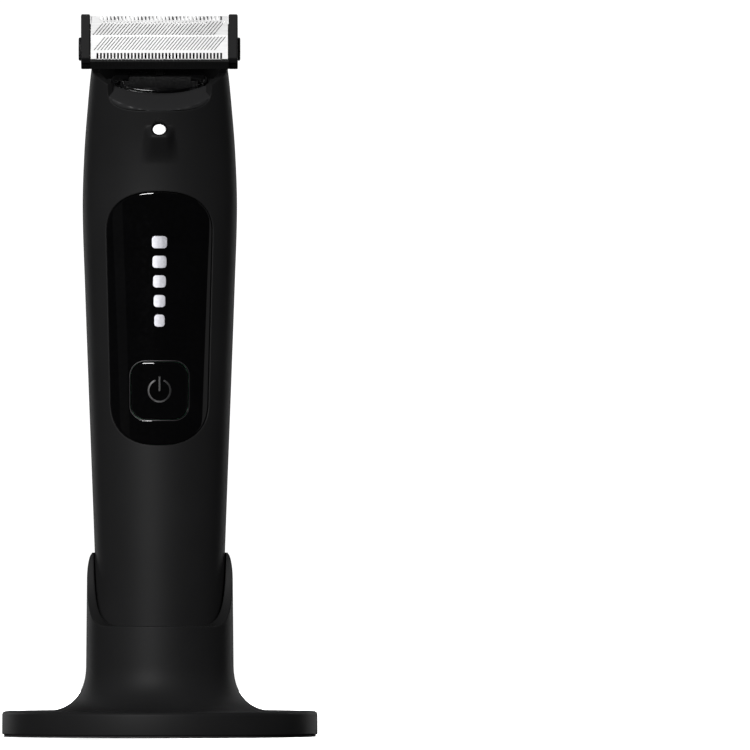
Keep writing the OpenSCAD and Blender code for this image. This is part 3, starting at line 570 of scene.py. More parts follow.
def front_shell():
    """Front half of the handle: a grid of length round the ellipse and height, with openings for the panel and the
    torch. Near an edge the skin drops by a quarter circle; the torch swells it; a bore goes in along the torch's
    axis."""
    line = to_round(evenly(notch_line(), 600))
    line = line[line[:, 0] < EDGE_U]
    line = np.vstack([line, [EDGE_U, line[-1, 1]]])
    side = evenly(line, 72)
    side[0, 0] = 0
    top = both_sides(side)
    u = top[:, 0]
    cols = len(u)
    heights = np.concatenate([np.linspace(shell_z0, 60, 16), np.linspace(62, 141, 62)])
    upper = rows_to(heights[-1], top[:, 1], 62)
    low_plane = np.stack([np.repeat(u[None], len(heights), 0), np.repeat(heights[:, None], cols, 1)], -1)
    high_plane = np.stack([np.repeat(u[None], len(upper), 0), upper], -1)
    row0 = int(np.searchsorted(heights, 67))
    hole = to_round(panel_outline(0.12))
    points, faces, _ = holed_grid(low_plane, (row0, len(heights) - 2), (6, cols - 7), hole, near_edge, 14)
    mouth = torch_mouth(2.05)
    middle_z = upper[:, cols // 2]
    row0, row1 = int(np.searchsorted(middle_z, 148.3)), int(np.searchsorted(middle_z, 155.0))
    col0, col1 = int(np.searchsorted(u, -3.9)), int(np.searchsorted(u, 3.9))
    high_points, high_faces, loop = holed_grid(high_plane, (row0, row1), (col0, col1), mouth,
                                               [0, 0.03, 0.07, 0.12, 0.25], 7)
    faces = np.vstack([faces, high_faces + len(points)])
    loop = loop + len(points)
    points = np.vstack([points, high_points])
    _, first, back = np.unique(np.round(points / 1e-4).astype(np.int64), axis=0, return_index=True,
                               return_inverse=True)
    back = back.reshape(-1)
    points, faces, loop = points[first], back[faces], back[loop]
    edge = np.minimum(distance_to(points, top), distance_to(points, hole, True))
    edge = np.minimum(edge, EDGE_U - np.abs(points[:, 0]))
    drop = round_drop(edge, 0.22)
    drop = drop + round_drop(distance_to(points, mouth, True), 0.12)
    outer = bumped(on_handle(points[:, 0], points[:, 1], drop, -1))
    inner = on_handle(points[:, 0], points[:, 1], WALL, -1)
    inner[:, 1] = np.maximum(inner[:, 1], outer[:, 1] + 0.8)
    rim = outer[loop]
    deep = rim - ((rim - torch_face) @ torch_way)[:, None] * torch_way - 1.2 * torch_way
    core = np.repeat([torch_face - 1.2 * torch_way], len(loop), 0)
    rings = np.vstack([rim + (deep - rim) * 0.3, deep, core])
    ids = np.vstack([loop, len(points) + np.arange(3 * len(loop)).reshape(3, -1)])
    ids = np.hstack([ids, ids[:, :1]])
    bore = np.stack([ids[1:, :-1], ids[1:, 1:], ids[:-1, 1:], ids[:-1, :-1]], -1).reshape(-1, 4)
    outer = np.vstack([outer, rings])
    back = np.vstack([inner[loop], inner[loop] * [0.9, 1, 1] + [0, 0.02, 0], core - 0.9 * torch_way])
    back[:, 1] = np.maximum(back[:, 1], rings[:, 1] + 0.5)
    inner = np.vstack([inner, back])
    faces = np.vstack([faces, bore])
    put("front_shell_skin", *walled(outer, inner, faces), "handle", "matte_black", finishes["matte_black"],
        ["front_shell"])


front_shell()

# ---------------------------------------------------------------- rear shell
TONGUE_LOW, TONGUE_ROUND, TONGUE_W0, TONGUE_W1 = 150.75, 3.6, 13.0, 14.4


def tongue_opening(gap, top):
    """Right half of the U round the release tongue: a level foot, a round corner, and a side that leans outwards."""
    a = np.radians(np.linspace(0, 90, 20))
    r, w = TONGUE_ROUND - gap, TONGUE_W0 - gap
    arc = np.stack([w - r + r * np.sin(a), TONGUE_LOW + gap + r - r * np.cos(a)], -1)
    lean = (TONGUE_W1 - TONGUE_W0) / (170.6 - arc[-1, 1])
    side = [[w + lean * (z - arc[-1, 1]), z] for z in np.linspace(arc[-1, 1] + 0.5, top, 12)]
    return np.vstack([[0, TONGUE_LOW + gap], arc, side])


GROOVES, GROOVE_PITCH, GROOVE_HIGH, GROOVE_W, GROOVE_DEPTH = 40, 1.29, 125.1, 0.52, 0.36


def rear_shell():
    """Rear half: the same kind of grid up to the U round the tongue and the two horns. Grip grooves are level bands
    where the skin drops, and the comb latch slot is a cup with a ramp and a deep step."""
    opening = tongue_opening(0, rear_top - 0.02)
    horn = np.array([[14.9, rear_top + 0.0], [15.25, rear_top]])
    line = to_round(evenly(np.vstack([opening, horn]), 500))
    line = np.vstack([line, [EDGE_U, rear_top]])
    side = evenly(line, 52)
    side[0, 0] = 0
    top = both_sides(side)
    u = top[:, 0]
    cols = len(u)
    offsets = np.array([-0.36, -0.26, -0.2, -0.12, 0.12, 0.2, 0.26, 0.36])
    middles = GROOVE_HIGH - GROOVE_PITCH * np.arange(GROOVES)[::-1]
    groove_rows = (middles[:, None] + offsets).reshape(-1)
    heights = np.concatenate([np.linspace(shell_z0, 73.6, 16), groove_rows, np.linspace(126.6, 137, 6),
                              np.linspace(138.2, 149.9, 16)])
    upper = rows_to(150.1, top[:, 1], 22)
    z = np.vstack([np.repeat(heights[:, None], cols, 1), upper])
    plane = np.stack([np.repeat(u[None], len(z), 0), z], -1)
    low, high, half = 139.9, 148.45, 2.8
    a = np.radians(np.linspace(0, 90, 20))
    slot_right = np.vstack([np.stack([half * np.sin(a), low + half - half * np.cos(a)], -1),
                            [[half, high - 0.35], [half - 0.1, high - 0.1], [half - 0.35, high]]])
    slot_line = np.vstack([slot_right, (slot_right * [-1, 1])[::-1]])
    slot_line = to_round(evenly(np.vstack([slot_line, slot_line[:1]]), 240)[:-1])
    row0, row1 = int(np.searchsorted(heights, 138.2)), int(np.searchsorted(heights, 149.85))
    near_slot = np.abs(u) < 4.4
    col0, col1 = int(np.argmax(near_slot)), len(u) - 1 - int(np.argmax(near_slot[::-1]))
    points, faces, loop = holed_grid(plane, (row0, row1), (col0, col1), slot_line, near_edge, 4)
    inside, cup_faces = cup(points, loop, [0.985, 0.97, 0.8, 0.55, 0.3, 0.0], len(points))
    total = np.vstack([points, inside])
    faces = np.vstack([faces, cup_faces])
    edge = np.minimum(distance_to(total, top), EDGE_U - np.abs(total[:, 0]))
    edge = np.minimum(edge, distance_to(total, slot_line, True))
    drop = round_drop(edge, 0.22)
    along = np.abs((total[:, 1] - middles[0]) / GROOVE_PITCH - np.round((total[:,
            1] - middles[0]) / GROOVE_PITCH)) * GROOVE_PITCH
    inside_band = (total[:, 1] > middles[0] - 0.6) & (total[:, 1] < middles[-1] + 0.6)
    ends = np.clip((AROUND * np.radians(78) - np.abs(total[:, 0])) / 1.2, 0, 1)
    groove = np.clip((GROOVE_W / 2 + 0.06 - along) / 0.12, 0, 1) * GROOVE_DEPTH * ends * inside_band
    drop = drop + groove
    outer = on_handle(total[:, 0], total[:, 1], drop, 1)
    ramp = np.interp(outer[len(points):, 2], [low, 144.1, 144.25], [float(surface_y(0.0, low, 1)) - 0.35, 10.0, 6.4])
    floor = np.minimum(outer[len(points):, 1] - 0.15, ramp)
    outer[len(points):, 1] = floor
    inner = on_handle(total[:, 0], total[:, 1], WALL, 1)
    inner[len(points):, 1] = np.minimum(inner[len(points):, 1], floor - 0.8)
    put("rear_shell_skin", *walled(outer, inner, faces), "handle", "matte_black", finishes["rib_black"],
        ["rear_shell"])


rear_shell()

# ---------------------------------------------------------------- stand
FOOT_H = 6.4
foot_r = node_box("stand_body")[1][0]
stand_low = node_box("stand_body")[0][2]
rim_z = node_box("stand_body")[1][2]
LIP_Z, SCOOP_Y, SCOOP_W = 27.75, -12.5, 11.5
COLUMN_R, FILLET_W, FILLET_H, RIM_W, RIM_H, CRADLE_GAP = 18.45, 11.05, 12.0, 1.5, 7.0, 0.35
POCKET_W, POCKET_Z0, POCKET_Z1, POCKET_ROUND, POCKET_R = 12.45, 22.9, 39.8, 2.0, 17.0
cradle_floor = 9.8


def column_radius(z):
    """The column narrows a little to its rim, whose shoulder is a quarter ellipse."""
    fillet_top = FOOT_H + FILLET_H
    straight = COLUMN_R - 0.2 * np.clip((z - fillet_top) / (rim_z - RIM_H - fillet_top), 0, 1)
    t = np.clip((z - (rim_z - RIM_H)) / RIM_H, 0, 1)
    return straight - RIM_W * (1 - np.sqrt(1 - t ** 2))


def rim_height(y):
    """Edge of the cradle: level at the front lip, then a quarter ellipse up to the level rim behind."""
    t = np.clip((y - SCOOP_Y) / SCOOP_W, 0, 1)
    return np.where(y >= SCOOP_Y + SCOOP_W, rim_z, rim_z - (rim_z - LIP_Z) * np.sqrt(1 - t ** 2))


def cradle_radius(angle, z):
    """Distance of the cradle's wall from the stand's axis: the handle's ellipse and a gap."""
    a, b = half_width(z) + CRADLE_GAP, half_depth(z) + CRADLE_GAP
    return 1 / np.sqrt((np.cos(angle) / a) ** 2 + (np.sin(angle) / b) ** 2)


def stand():
    """Stand body as one skin: a profile of radius and height turned round it for the foot and fillet, a grid of
    angle and height with the pocket cut in for the column, and rounded rings over the rim and down into the
    cradle."""
    fillet_top = FOOT_H + FILLET_H
    half_turn = np.radians(np.linspace(-90, 90, 4000))
    edge_line = np.stack([half_turn * COLUMN_R, rim_height(COLUMN_R * np.sin(half_turn))], -1)
    right = evenly(edge_line, 150)[:, 0] / COLUMN_R
    angle = np.concatenate([right, math.pi - right[-2:0:-1]])
    angle = np.unwrap(angle)
    start = int(np.argmin(np.abs(angle + math.pi / 2)))
    angle = np.concatenate([angle[start:], angle[:start] + 2 * math.pi, [angle[start] + 2 * math.pi]])
    cols = len(angle)

    def ring(radius, z):
        radius, z = np.broadcast_to(radius, cols), np.broadcast_to(z, cols)
        return np.stack([radius * np.cos(angle), radius * np.sin(angle), z], -1)

    foot = [[0.02, stand_low], [20, stand_low], [foot_r - 0.4, stand_low]]
    foot += [[foot_r - 0.4 + p[1], stand_low + 0.4 - p[0]] for p in corner(0.4, 0.4, 5, 2)]
    foot += [[foot_r - 1.0 + p[0], FOOT_H - 1.0 + p[1]] for p in corner(1.0, 1.0, 8, 2.2)]
    foot += [[foot_r - 4, FOOT_H], [foot_r - 7, FOOT_H]]
    foot += [[COLUMN_R + FILLET_W - p[0], FOOT_H + FILLET_H - p[1]] for p in corner(FILLET_W, FILLET_H, 30,
            2.4)[::-1]]
    rim_o = rim_height(column_radius(rim_z) * np.sin(angle))
    for _ in range(4):
        rim_o = rim_height(column_radius(rim_o) * np.sin(angle))
    radius_o = column_radius(rim_o)
    rim_i = rim_height(cradle_radius(angle, rim_o) * np.sin(angle))
    radius_i = cradle_radius(angle, rim_i)
    soft = np.minimum(0.4, 0.45 * (radius_o - radius_i))
    bottom = np.array([ring(r, z) for r, z in foot])
    turns = np.radians(np.linspace(0, 90, 6))
    rim = [ring(radius_o - soft + soft * math.cos(t), rim_o - soft + soft * math.sin(t)) for t in turns]
    rim += [ring(radius_i + soft - soft * math.sin(t), rim_i - soft + soft * math.cos(t)) for t in turns]
    wall_top = rim_i - soft
    inside = []
    for s in np.linspace(0, 1, 20)[1:]:
        z = wall_top + (cradle_floor + 0.6 - wall_top) * s
        inside.append(ring(cradle_radius(angle, z), z))
    base = cradle_radius(angle, np.full(cols, cradle_floor))
    inside += [ring(base - 0.2, cradle_floor + 0.15), ring(base - 0.7, cradle_floor), ring(base * 0.5, cradle_floor),
               ring(0.0, cradle_floor)]
    upper = np.array(rim + inside)
    top = rim_o - soft
    share = np.linspace(0, 1, 46)[:, None]
    z = fillet_top + (top - fillet_top) * share
    plane = np.stack([np.repeat(angle[None] * COLUMN_R, len(z), 0), z], -1)
    back = math.pi / 2
    block = np.abs(angle - back) < math.radians(50)
    col0, col1 = int(np.argmax(block)), cols - 1 - int(np.argmax(block[::-1]))
    back_z = z[:, (col0 + col1) // 2]
    row0, row1 = int(np.searchsorted(back_z, 20.6)), int(np.searchsorted(back_z, 42.4))
    pocket = rounded_box(POCKET_W, POCKET_Z0, POCKET_Z1, POCKET_ROUND)
    pocket_u = np.stack([(back - np.arcsin(pocket[:, 0] / column_radius(pocket[:, 1]))) * COLUMN_R, pocket[:, 1]], -1)
    points, faces, loop = holed_grid(plane, (row0, row1), (col0, col1), pocket_u, [0, 0.05, 0.12, 0.2, 0.3, 0.7], 5)
    inner_rings, cup_faces = cup(points, loop, [0.994, 0.99, 0.97, 0.8, 0.6, 0.4, 0.2, 0.0], len(points))
    total = np.vstack([points, inner_rings])
    count = len(loop)
    depth = np.zeros(len(total))
    near = distance_to(points, pocket_u, True)
    depth[:len(points)] = round_drop(near, 0.28)
    floor_depth = column_radius(total[:, 1]) - POCKET_R
    first = len(points)
    depth[first:first + count] = floor_depth[first:first + count] - 0.12
    depth[first + count:first + 2 * count] = floor_depth[first + count:first + 2 * count] - 0.03
    depth[first + 2 * count:] = floor_depth[first + 2 * count:]
    a = total[:, 0] / COLUMN_R
    r = column_radius(total[:, 1]) - depth
    column = np.stack([r * np.cos(a), r * np.sin(a), total[:, 1]], -1)
    whole = join((bottom, grid_faces(len(bottom), cols)), (column, np.vstack([faces, cup_faces])),
                (upper, grid_faces(len(upper), cols)))
    put("stand_body_skin", *whole, "stand", "matte_black", finishes["stand_black"], ["stand_body"])


stand()

# ---------------------------------------------------------------- gloss panel and power button
button_low, button_high = node_box("power_button")
button_z = (button_low[2] + button_high[2]) / 2
BUTTON_HALF = (button_high[0] - button_low[0]) / 2
BUTTON_ROUND = 3.5


def spanned(outline, corners, rows, cols):
    """Fills a closed line with a grid: its four sides, between the given corners, are blended across (a Coons
    patch)."""
    a, b, c, d = corners
    n = len(outline)

    def side(i, j, count):
        ids = np.arange(i, j + 1 if j > i else j + n + 1) % n
        return evenly(outline[ids], count)

    low, right = side(a, b, cols), side(b, c, rows)
    high, left = side(c, d, cols)[::-1], side(d, a, rows)[::-1]
    s = np.linspace(0, 1, cols)[None, :, None]
    t = np.linspace(0, 1, rows)[:, None, None]
    return ((1 - t) * low[None] + t * high[None] + (1 - s) * left[:, None] + s * right[:, None]
            - ((1 - s) * (1 - t) * low[0] + s * (1 - t) * low[-1] + (1 - s) * t * high[0] + s * t * high[-1]))


def nearest(line, x, z):
    """Which point of a line is nearest to a place."""
    return int(np.argmin((line[:, 0] - x) ** 2 + (line[:, 1] - z) ** 2))


def plate_on_front(outline, corners, rows, cols, proud, thick, edge_r, hole=None):
    """Plate that follows the front of the handle: the flat outline filled with a grid, each point set at the skin's
    y, with a quarter-circle edge and a wall behind."""
    line = outline
    grid = spanned(inset_line(line, edge_r + 0.02), corners, rows, cols)
    if hole is not None:
        block, hole_line = hole
        points, faces, _ = holed_grid(grid, block[0], block[1], hole_line, [0, 0.05, 0.1, 0.17, 0.3], 4)
    else:
        points, faces = grid.reshape(-1, 2), grid_faces(rows, cols)
    index = np.arange(rows * cols).reshape(rows, cols)
    border = np.concatenate([index[0, :-1], index[:-1, -1], index[-1, :0:-1], index[:0:-1, 0]])
    start = points[border]
    rim = evenly_pick(line, corners, rows, cols)
    rings = [start + (rim - start) * s for s in (0.25, 0.5, 0.7, 0.86, 0.95, 1.0)]
    first = len(points)
    size = len(border)
    ids = np.vstack([border[None], first + np.arange(len(rings) * size).reshape(-1, size)])
    ids = np.hstack([ids, ids[:, :1]])
    ring_faces = np.stack([ids[1:, :-1], ids[1:, 1:], ids[:-1, 1:], ids[:-1, :-1]], -1).reshape(-1, 4)
    points = np.vstack([points] + rings)
    faces = np.vstack([faces, ring_faces])
    edge = distance_to(points, line, True)
    if hole is not None:
        edge = np.minimum(edge, distance_to(points, hole[1], True) * 1.6)
    drop = round_drop(edge, edge_r)
    y = surface_y(points[:, 0], points[:, 1], -1)
    outer = np.stack([points[:, 0], y - proud + drop, points[:, 1]], -1)
    inner = np.stack([points[:, 0], y - proud + thick, points[:, 1]], -1)
    return walled(outer, inner, faces)


def inset_line(line, by):
    """Moves each point of a closed line inwards by a distance, square to the line there."""
    ahead = np.roll(line, -1, axis=0) - np.roll(line, 1, axis=0)
    ahead /= np.maximum(np.sqrt((ahead ** 2).sum(1)), 1e-9)[:, None]
    return line + np.stack([-ahead[:, 1], ahead[:, 0]], -1) * by


def evenly_pick(line, corners, rows, cols):
    """Points of a closed line in the order of a grid's border, evenly between each two corners."""
    a, b, c, d = corners
    n = len(line)

    def side(i, j, count):
        ids = np.arange(i, j + 1 if j > i else j + n + 1) % n
        return evenly(line[ids], count)[:-1]

    return np.vstack([side(a, b, cols), side(b, c, rows), side(c, d, cols), side(d, a, rows)])


def four_corners(line, x0, z0, x1, z1):
    """The four points of a closed line where its sides meet: two low, two high."""
    return nearest(line, -x0, z0), nearest(line, x0, z0), nearest(line, x1, z1), nearest(line, -x1, z1)


def panel():
    """Gloss panel: its outline filled with a grid that has the button's hole in it, laid on the skin."""
    line = panel_outline(0.0)
    corners = four_corners(line, 8.9, panel_low + 2.4, 9.7, panel_high - 2.2)
    rows, cols = 71, 25
    hole = rounded_box(BUTTON_HALF + 0.13, button_z - BUTTON_HALF - 0.13, button_z + BUTTON_HALF + 0.13, 3.6)
    grid = spanned(inset_line(line, 0.4), corners, rows, cols)
    middle_z = grid[:, cols // 2, 1]
    row0, row1 = int(np.searchsorted(middle_z, button_z - 9.2)), int(np.searchsorted(middle_z, button_z + 9.0))
    block = ((row0, row1), (3, cols - 4))
    part = plate_on_front(line, corners, rows, cols, 0.02, 1.5, 0.38, (block, hole))
    put("panel_glass", *part, "handle", "gloss_black", finishes["glass_black"], ["display_panel"])


def button():
    """Power button's face: a rounded square filled with a grid and laid on the skin."""
    line = rounded_box(BUTTON_HALF, button_z - BUTTON_HALF, button_z + BUTTON_HALF, BUTTON_ROUND)
    d = BUTTON_HALF - BUTTON_ROUND * 0.3
    corners = four_corners(line, d, button_z - d, d, button_z + d)
    part = plate_on_front(line, corners, 21, 21, 0.03, 1.5, 0.3)
    put("button_face", *part, "button", "gloss_black", finishes["glass_black"], ["power_button"])


def strip_on_front(centre, thick, proud):
    """Thin mark on the front: a centre line of x and z widened to each side and set on the skin, closed round its
    edge."""
    ahead = np.gradient(centre, axis=0)
    ahead /= np.sqrt((ahead ** 2).sum(1))[:, None]
    square = np.stack([-ahead[:, 1], ahead[:, 0]], -1)
    across = np.array([-1, -0.8, 0.8, 1])[:, None, None] * thick / 2
    plane = centre[None] + square[None] * across
    y = surface_y(plane[..., 0], plane[..., 1], -1)
    lift = np.array([-0.6, 1, 1, -0.6])[:, None] * proud
    outer = np.stack([plane[..., 0], y - 0.03 - lift, plane[..., 1]], -1).reshape(-1, 3)
    inner = np.stack([plane[..., 0], y + 0.1, plane[..., 1]], -1).reshape(-1, 3)
    return walled(outer, inner, grid_faces(4, len(centre)))


def symbol():
    """Power mark: most of a ring, open at the top, and an upright bar."""
    a = np.radians(np.linspace(112, 428, 60))
    ring = np.stack([2.75 * np.cos(a), button_z + 2.75 * np.sin(a)], -1)
    bar = np.stack([np.zeros(8), np.linspace(button_z - 0.1, button_z + 3.5, 8)], -1)
    put("power_mark", *join(strip_on_front(ring, 0.5, 0.02), strip_on_front(bar, 0.5, 0.02)), "button", "gloss_black",
        finishes["dim_mark_and_groove_shade"], ["power_symbol"])


def level_marks():
    """Five plain bars up the panel, each a little wider than the one below."""
    z0, z1 = 101.5, 126.0
    step = (z1 - z0) / 5
    parts = []
    for k in range(5):
        z = z0 + step * (k + 0.5)
        line = rounded_box(1.3 + 0.15 * k, z - step * 0.31, z + step * 0.31, 0.8)
        d = 0.24
        w, h = 1.3 + 0.15 * k - d, step * 0.31 - d
        corners = (nearest(line, -w, z - h), nearest(line, w, z - h), nearest(line, w, z + h),
                   nearest(line, -w, z + h))
        parts.append(plate_on_front(line, corners, 9, 9, 0.05, 0.09, 0.03))
    put("level_marks", *join(*parts), "handle", "silver_mark", finishes["silver_mark"], ["level_bars"])


def button_frame():
    """Fine line sunk round the button, seen as a slim rim: drawn as a dim strip laid on the skin, painted shade and
    light standing in for the sunk groove.
    """
    line = rounded_box(BUTTON_HALF + 0.34, button_z - BUTTON_HALF - 0.34, button_z + BUTTON_HALF + 0.34, 3.8)
    line = np.vstack([line, line[:2]])
    part = strip_on_front(line, 0.2, 0.012)
    put("button_rim", *part, "handle", "gloss_black", finishes["dim_mark_and_groove_shade"])


panel()
button()
symbol()
level_marks()
button_frame()

# ---------------------------------------------------------------- torch lens


def lens():
    """Shallow dome in the torch's mouth: a circle arc turned round the torch's axis, with a straight skirt."""
    r = 1.58
    t = np.linspace(0, 1, 9)
    dome = np.stack([r * np.sin(t * math.pi / 2), 0.12 + 0.22 * np.cos(t * math.pi / 2)], -1)
    profile = np.vstack([dome, [[r, -1.0], [0, -1.0]]])
    put("torch_lens", *turned(profile, torch_face - torch_way * 0.15, torch_way, 48), "handle", "lens",
        finishes["lens_white"], ["light_lens"])
    ring = [[r + 0.03, -0.08], [r + 0.1, 0.0], [r + 0.28, 0.02], [r + 0.36, -0.06], [r + 0.37, -0.9],
            [r + 0.03, -0.9], [r + 0.03, -0.08]]
    put("torch_ring", *turned(ring, torch_face - torch_way * 0.12, torch_way, 48), "handle", "gloss_black",
        finishes["gloss_black"])


lens()

# ---------------------------------------------------------------- release tongue
TONGUE_GAP, TONGUE_T = 0.25, 1.5
GRIP_Z = 160.1


def tongue_top(x):
    """The tongue's top edge: level in the middle, rising to its sides as the seventh power."""
    return 166.8 + 3.8 * (np.abs(x) / 14.1) ** 7


def tongue():
    """Thumb tongue: rows from its foot to its curved top, each as wide as the U opening there less a gap. It sinks
    below the shell towards its foot. A fine groove follows a stadium round the thumb place, and eight ridges stand
    in it."""
    h0 = TONGUE_ROUND - TONGUE_GAP
    w0 = TONGUE_W0 - TONGUE_GAP

    def width(h):
        arc = w0 - h0 + np.sqrt(np.maximum(h0 ** 2 - (h0 - np.minimum(h, h0)) ** 2, 0))
        return np.where(h < h0, arc, w0 + (TONGUE_W1 - TONGUE_W0) * (h - h0) / (170.6 - TONGUE_LOW - h0))

    rows = np.concatenate([[0, 0.03, 0.08, 0.16, 0.26, 0.4, 0.6, 0.9, 1.3, 1.8, 2.4, 3.0, 3.6],
                           np.linspace(4.3, 19.05, 92), [19.2, 19.35, 19.45, 19.52, 19.57, 19.6]])
    t = rows / 19.6
    across = np.sin(np.linspace(-1, 1, 141) * math.pi / 2 * 0.82) / math.sin(math.pi / 2 * 0.82)
    low = TONGUE_LOW + TONGUE_GAP
    x = across[None] * width(rows)[:, None]
    z = low + (tongue_top(x) - low) * t[:, None]
    sink = 0.9 * np.maximum(166.8 - z, 0) / 16 + 0.05
    flat = np.stack([x, z], -1).reshape(-1, 2)
    border = np.vstack([np.stack([x[0], z[0]], -1), np.stack([x[:, -1], z[:, -1]], -1)[1:],
                        np.stack([x[-1], z[-1]], -1)[::-1][1:], np.stack([x[:, 0], z[:, 0]], -1)[::-1][1:]])
    edge = distance_to(flat, border, True).reshape(x.shape)
    drop = round_drop(edge, 0.3)
    stadium = np.abs(np.sqrt(np.maximum(np.abs(x) - 7.05, 0) ** 2 + (z - GRIP_Z) ** 2) - 2.95)
    groove = 0.3 * np.clip(1 - stadium / 0.24, 0, 1) ** 0.6
    ridge = np.abs((x + 7) / 2 - np.round((x + 7) / 2)) * 2
    lift = 0.24 * np.clip((0.36 - ridge) / 0.14, 0, 1) * np.clip((1.5 - np.abs(z - GRIP_Z)) / 0.2, 0,
            1) * (np.abs(x) < 7.6)
    depth = sink + drop + groove - lift
    y = surface_y(x, z, 1)
    outer = np.stack([x, y - depth, z], -1).reshape(-1, 3)
    inner = np.stack([x, y - sink - TONGUE_T, z], -1).reshape(-1, 3)
    plate = walled(outer, inner, grid_faces(*x.shape))
    pin = joint_place("release_press")
    barrels = []
    for x0, x1 in ((6.3, 8.9), (-8.9, -6.3)):
        profile = [[0.86, x0], [1.6, x0], [1.75, x0 + 0.15], [1.75, x1 - 0.15], [1.6, x1], [0.86, x1], [0.86, x0]]
        barrels.append(turned(profile, [0, pin[1], pin[2]], [1, 0, 0], 32))
    put("release_tongue_face", *join(plate, *barrels), "tongue", "matte_black", finishes["matte_black"],
        ["release_tongue"])


tongue()

# ---------------------------------------------------------------- neck


def collar():
    """Sloped crescent in the front notch: from the notch's edge up to a shallow arc, set back along a slope, and
    never in front of the shell. A slim lip follows the arc over the well behind."""
    x = np.sin(np.linspace(-1, 1, 121) * math.pi / 2) * 12.98
    low = 163.02 - 6.72 * np.maximum(1 - (np.abs(x) / 13.0) ** 3.4, 0) ** (1 / 3.4)
    high = np.maximum(160.5 + 2.25 * (np.abs(x) / 11.6) ** 2, low + 0.02)
    t = np.concatenate([[0, 0.02, 0.05, 0.1], np.linspace(0.18, 0.9, 12), [0.96, 0.985, 1]])[:, None]
    z = low + (high - low) * t
    xx = np.repeat(x[None], len(t), 0)
    edge = np.minimum(z - low, high - z)
    y = np.maximum(-19.15 + (z - 156.3) * 0.84, surface_y(xx, z, -1) + 0.12) + round_drop(edge, 0.22)
    outer = np.stack([xx, y, z], -1).reshape(-1, 3)
    # The crescent's lighter finish is painted light: its slope faces the light from above.
    put("collar_face", *walled(outer, outer + [0, 1.3, 0], grid_faces(*z.shape)), "handle", "matte_black",
        finishes["collar_painted_light"])
    x = np.linspace(-8.6, 8.6, 60)
    a = np.linspace(0, 2 * math.pi, 13)[:-1]
    path = np.stack([x, -14.75 + 0.02 * x ** 2, 161.3 + 1.0 * (x / 8.6) ** 2], -1)
    thin = (0.2 * np.sqrt(np.maximum(1 - (x / 8.65) ** 8, 0)))[:, None, None]
    rail = path[:, None] + thin * np.stack([np.zeros(12), np.cos(a), np.sin(a)], -1)
    ends = np.stack([path[0], path[-1]])
    points = np.vstack([rail.reshape(-1, 3), ends])
    n, m = len(x), 12
    k = np.arange(m)
    fans = np.vstack([np.stack([(k + 1) % m, k, np.full(m, n * m), np.full(m, n * m)], -1),
                      np.stack([(n - 1) * m + k, (n - 1) * m + (k + 1) % m, np.full(m, n * m + 1),
                                np.full(m, n * m + 1)], -1)])
    put("well_lip", points, np.vstack([grid_faces(n, m, wrap=True)[:, ::-1], fans]), "handle", "gloss_black",
        finishes["gloss_black"])


def carrier_front():
    """Gloss block between the arms: its outline in y and z carried along x, with rounded edges, a round boss at each
    end and a web beside each arm."""
    block = [[-13.4, 161.7], [-13.4, 164.6], [-13.34, 164.97], [-13.1, 165.2], [-12.7, 165.28], [-9.6, 165.28],
             [-9.6, 161.7]]
    put("carrier_block", *prism_x(block, -9.05, 9.05), "carrier", "gloss_black", finishes["gloss_black"], bevel=0.05)
    side = prism_x([[-13.7, 162.1], [-13.7, 164.6], [-13.4, 165.1], [-10, 165.1], [-10, 162.1]], 9.1, 9.75)
    put("carrier_cheeks", *join(side, mirror_x(side)), "carrier", "gloss_black", finishes["gloss_black"], bevel=0.15)
    profile = [[0, 0.1], [0.5, 0.12], [0.62, 0.3], [0.98, 0.3], [1.1, 0.18], [1.1, -2.4], [0, -2.4]]
    boss = turned(profile, [10.9, -13.5, 164.25], [0, -1, 0], 36)
    put("carrier_bosses", *join(boss, mirror_x(boss)), "carrier", "gloss_black", finishes["gloss_black"])
    web = prism_x([[-9.1, 163.4], [-9.1, 169.6], [-8.0, 169.6], [-8.0, 163.4]], 6.95, 8.0)
    put("carrier_webs", *join(web, mirror_x(web)), "carrier", "gloss_black", finishes["gloss_black"])


collar()
carrier_front()

# ---------------------------------------------------------------- cutting head
pivot = joint_place("head_float")
guard_low, guard_high = node_box("guard_plate")
GUARD_PITCH, BEND, LEAN = 0.857, 3.25, math.tan(math.radians(20))


def sheet(name, y, thick, half, zones, pitch, slots, body, slot, finish, replaces):
    """Thin slotted sheet. Its columns are the edges of the slots and bars, and they slide sideways with height, so
    the slots slant; each zone of height is whole or slotted, with its own slot width. Above the bend the sheet leans
    back."""
    middles = pitch * (np.arange(-6, slots + 6) - (slots - 1) / 2)
    heights, slide, wide = [zones[0][0]], [0.0], [zones[0][5]]
    for z0, z1, slant, kind, steps, width in zones:
        for k in range(steps):
            heights.append(z0 + (z1 - z0) * (k + 1) / steps)
            slide.append(slide[-1] + slant * (z1 - z0) / steps)
            wide.append(width)
    heights, slide, wide = np.array(heights), np.array(slide), np.array(wide)
    edges = (middles[None, :, None] + wide[:, None, None] * [-0.5, 0.5]).reshape(len(heights), -1)
    x = np.clip(edges + slide[:, None], -half, half)
    x = np.hstack([np.full((len(x), 1), -half), x, np.full((len(x), 1), half)])
    z = np.repeat(heights[:, None], x.shape[1], 1)
    faces = grid_faces(*x.shape).reshape(len(heights) - 1, x.shape[1] - 1, 4)
    is_slot = np.arange(x.shape[1] - 1) % 2 == 1
    reach = np.maximum(np.abs(x[:, :-1]), np.abs(x[:, 1:]))
    keep = np.ones(faces.shape[:2], bool)
    start = 0
    for z0, z1, slant, kind, steps, width in zones:
        if kind == "slots":
            limit = half - 0.4 if slant else min(half - 0.4, slots / 2 * pitch)
            keep[start:start + steps] = ~(is_slot & (reach[start:start + steps + 1] < limit).all(0))
        start += steps
    back = np.where(z > BEND, (z - BEND) * LEAN, 0)
    front = np.stack([x, y + back, z], -1).reshape(-1, 3) + pivot
    points, cells = weld(front, faces[keep].reshape(-1, 4))
    put(name, *walled(points, points + [0, thick, 0], cells), body, slot, finish, replaces, sharp=25)


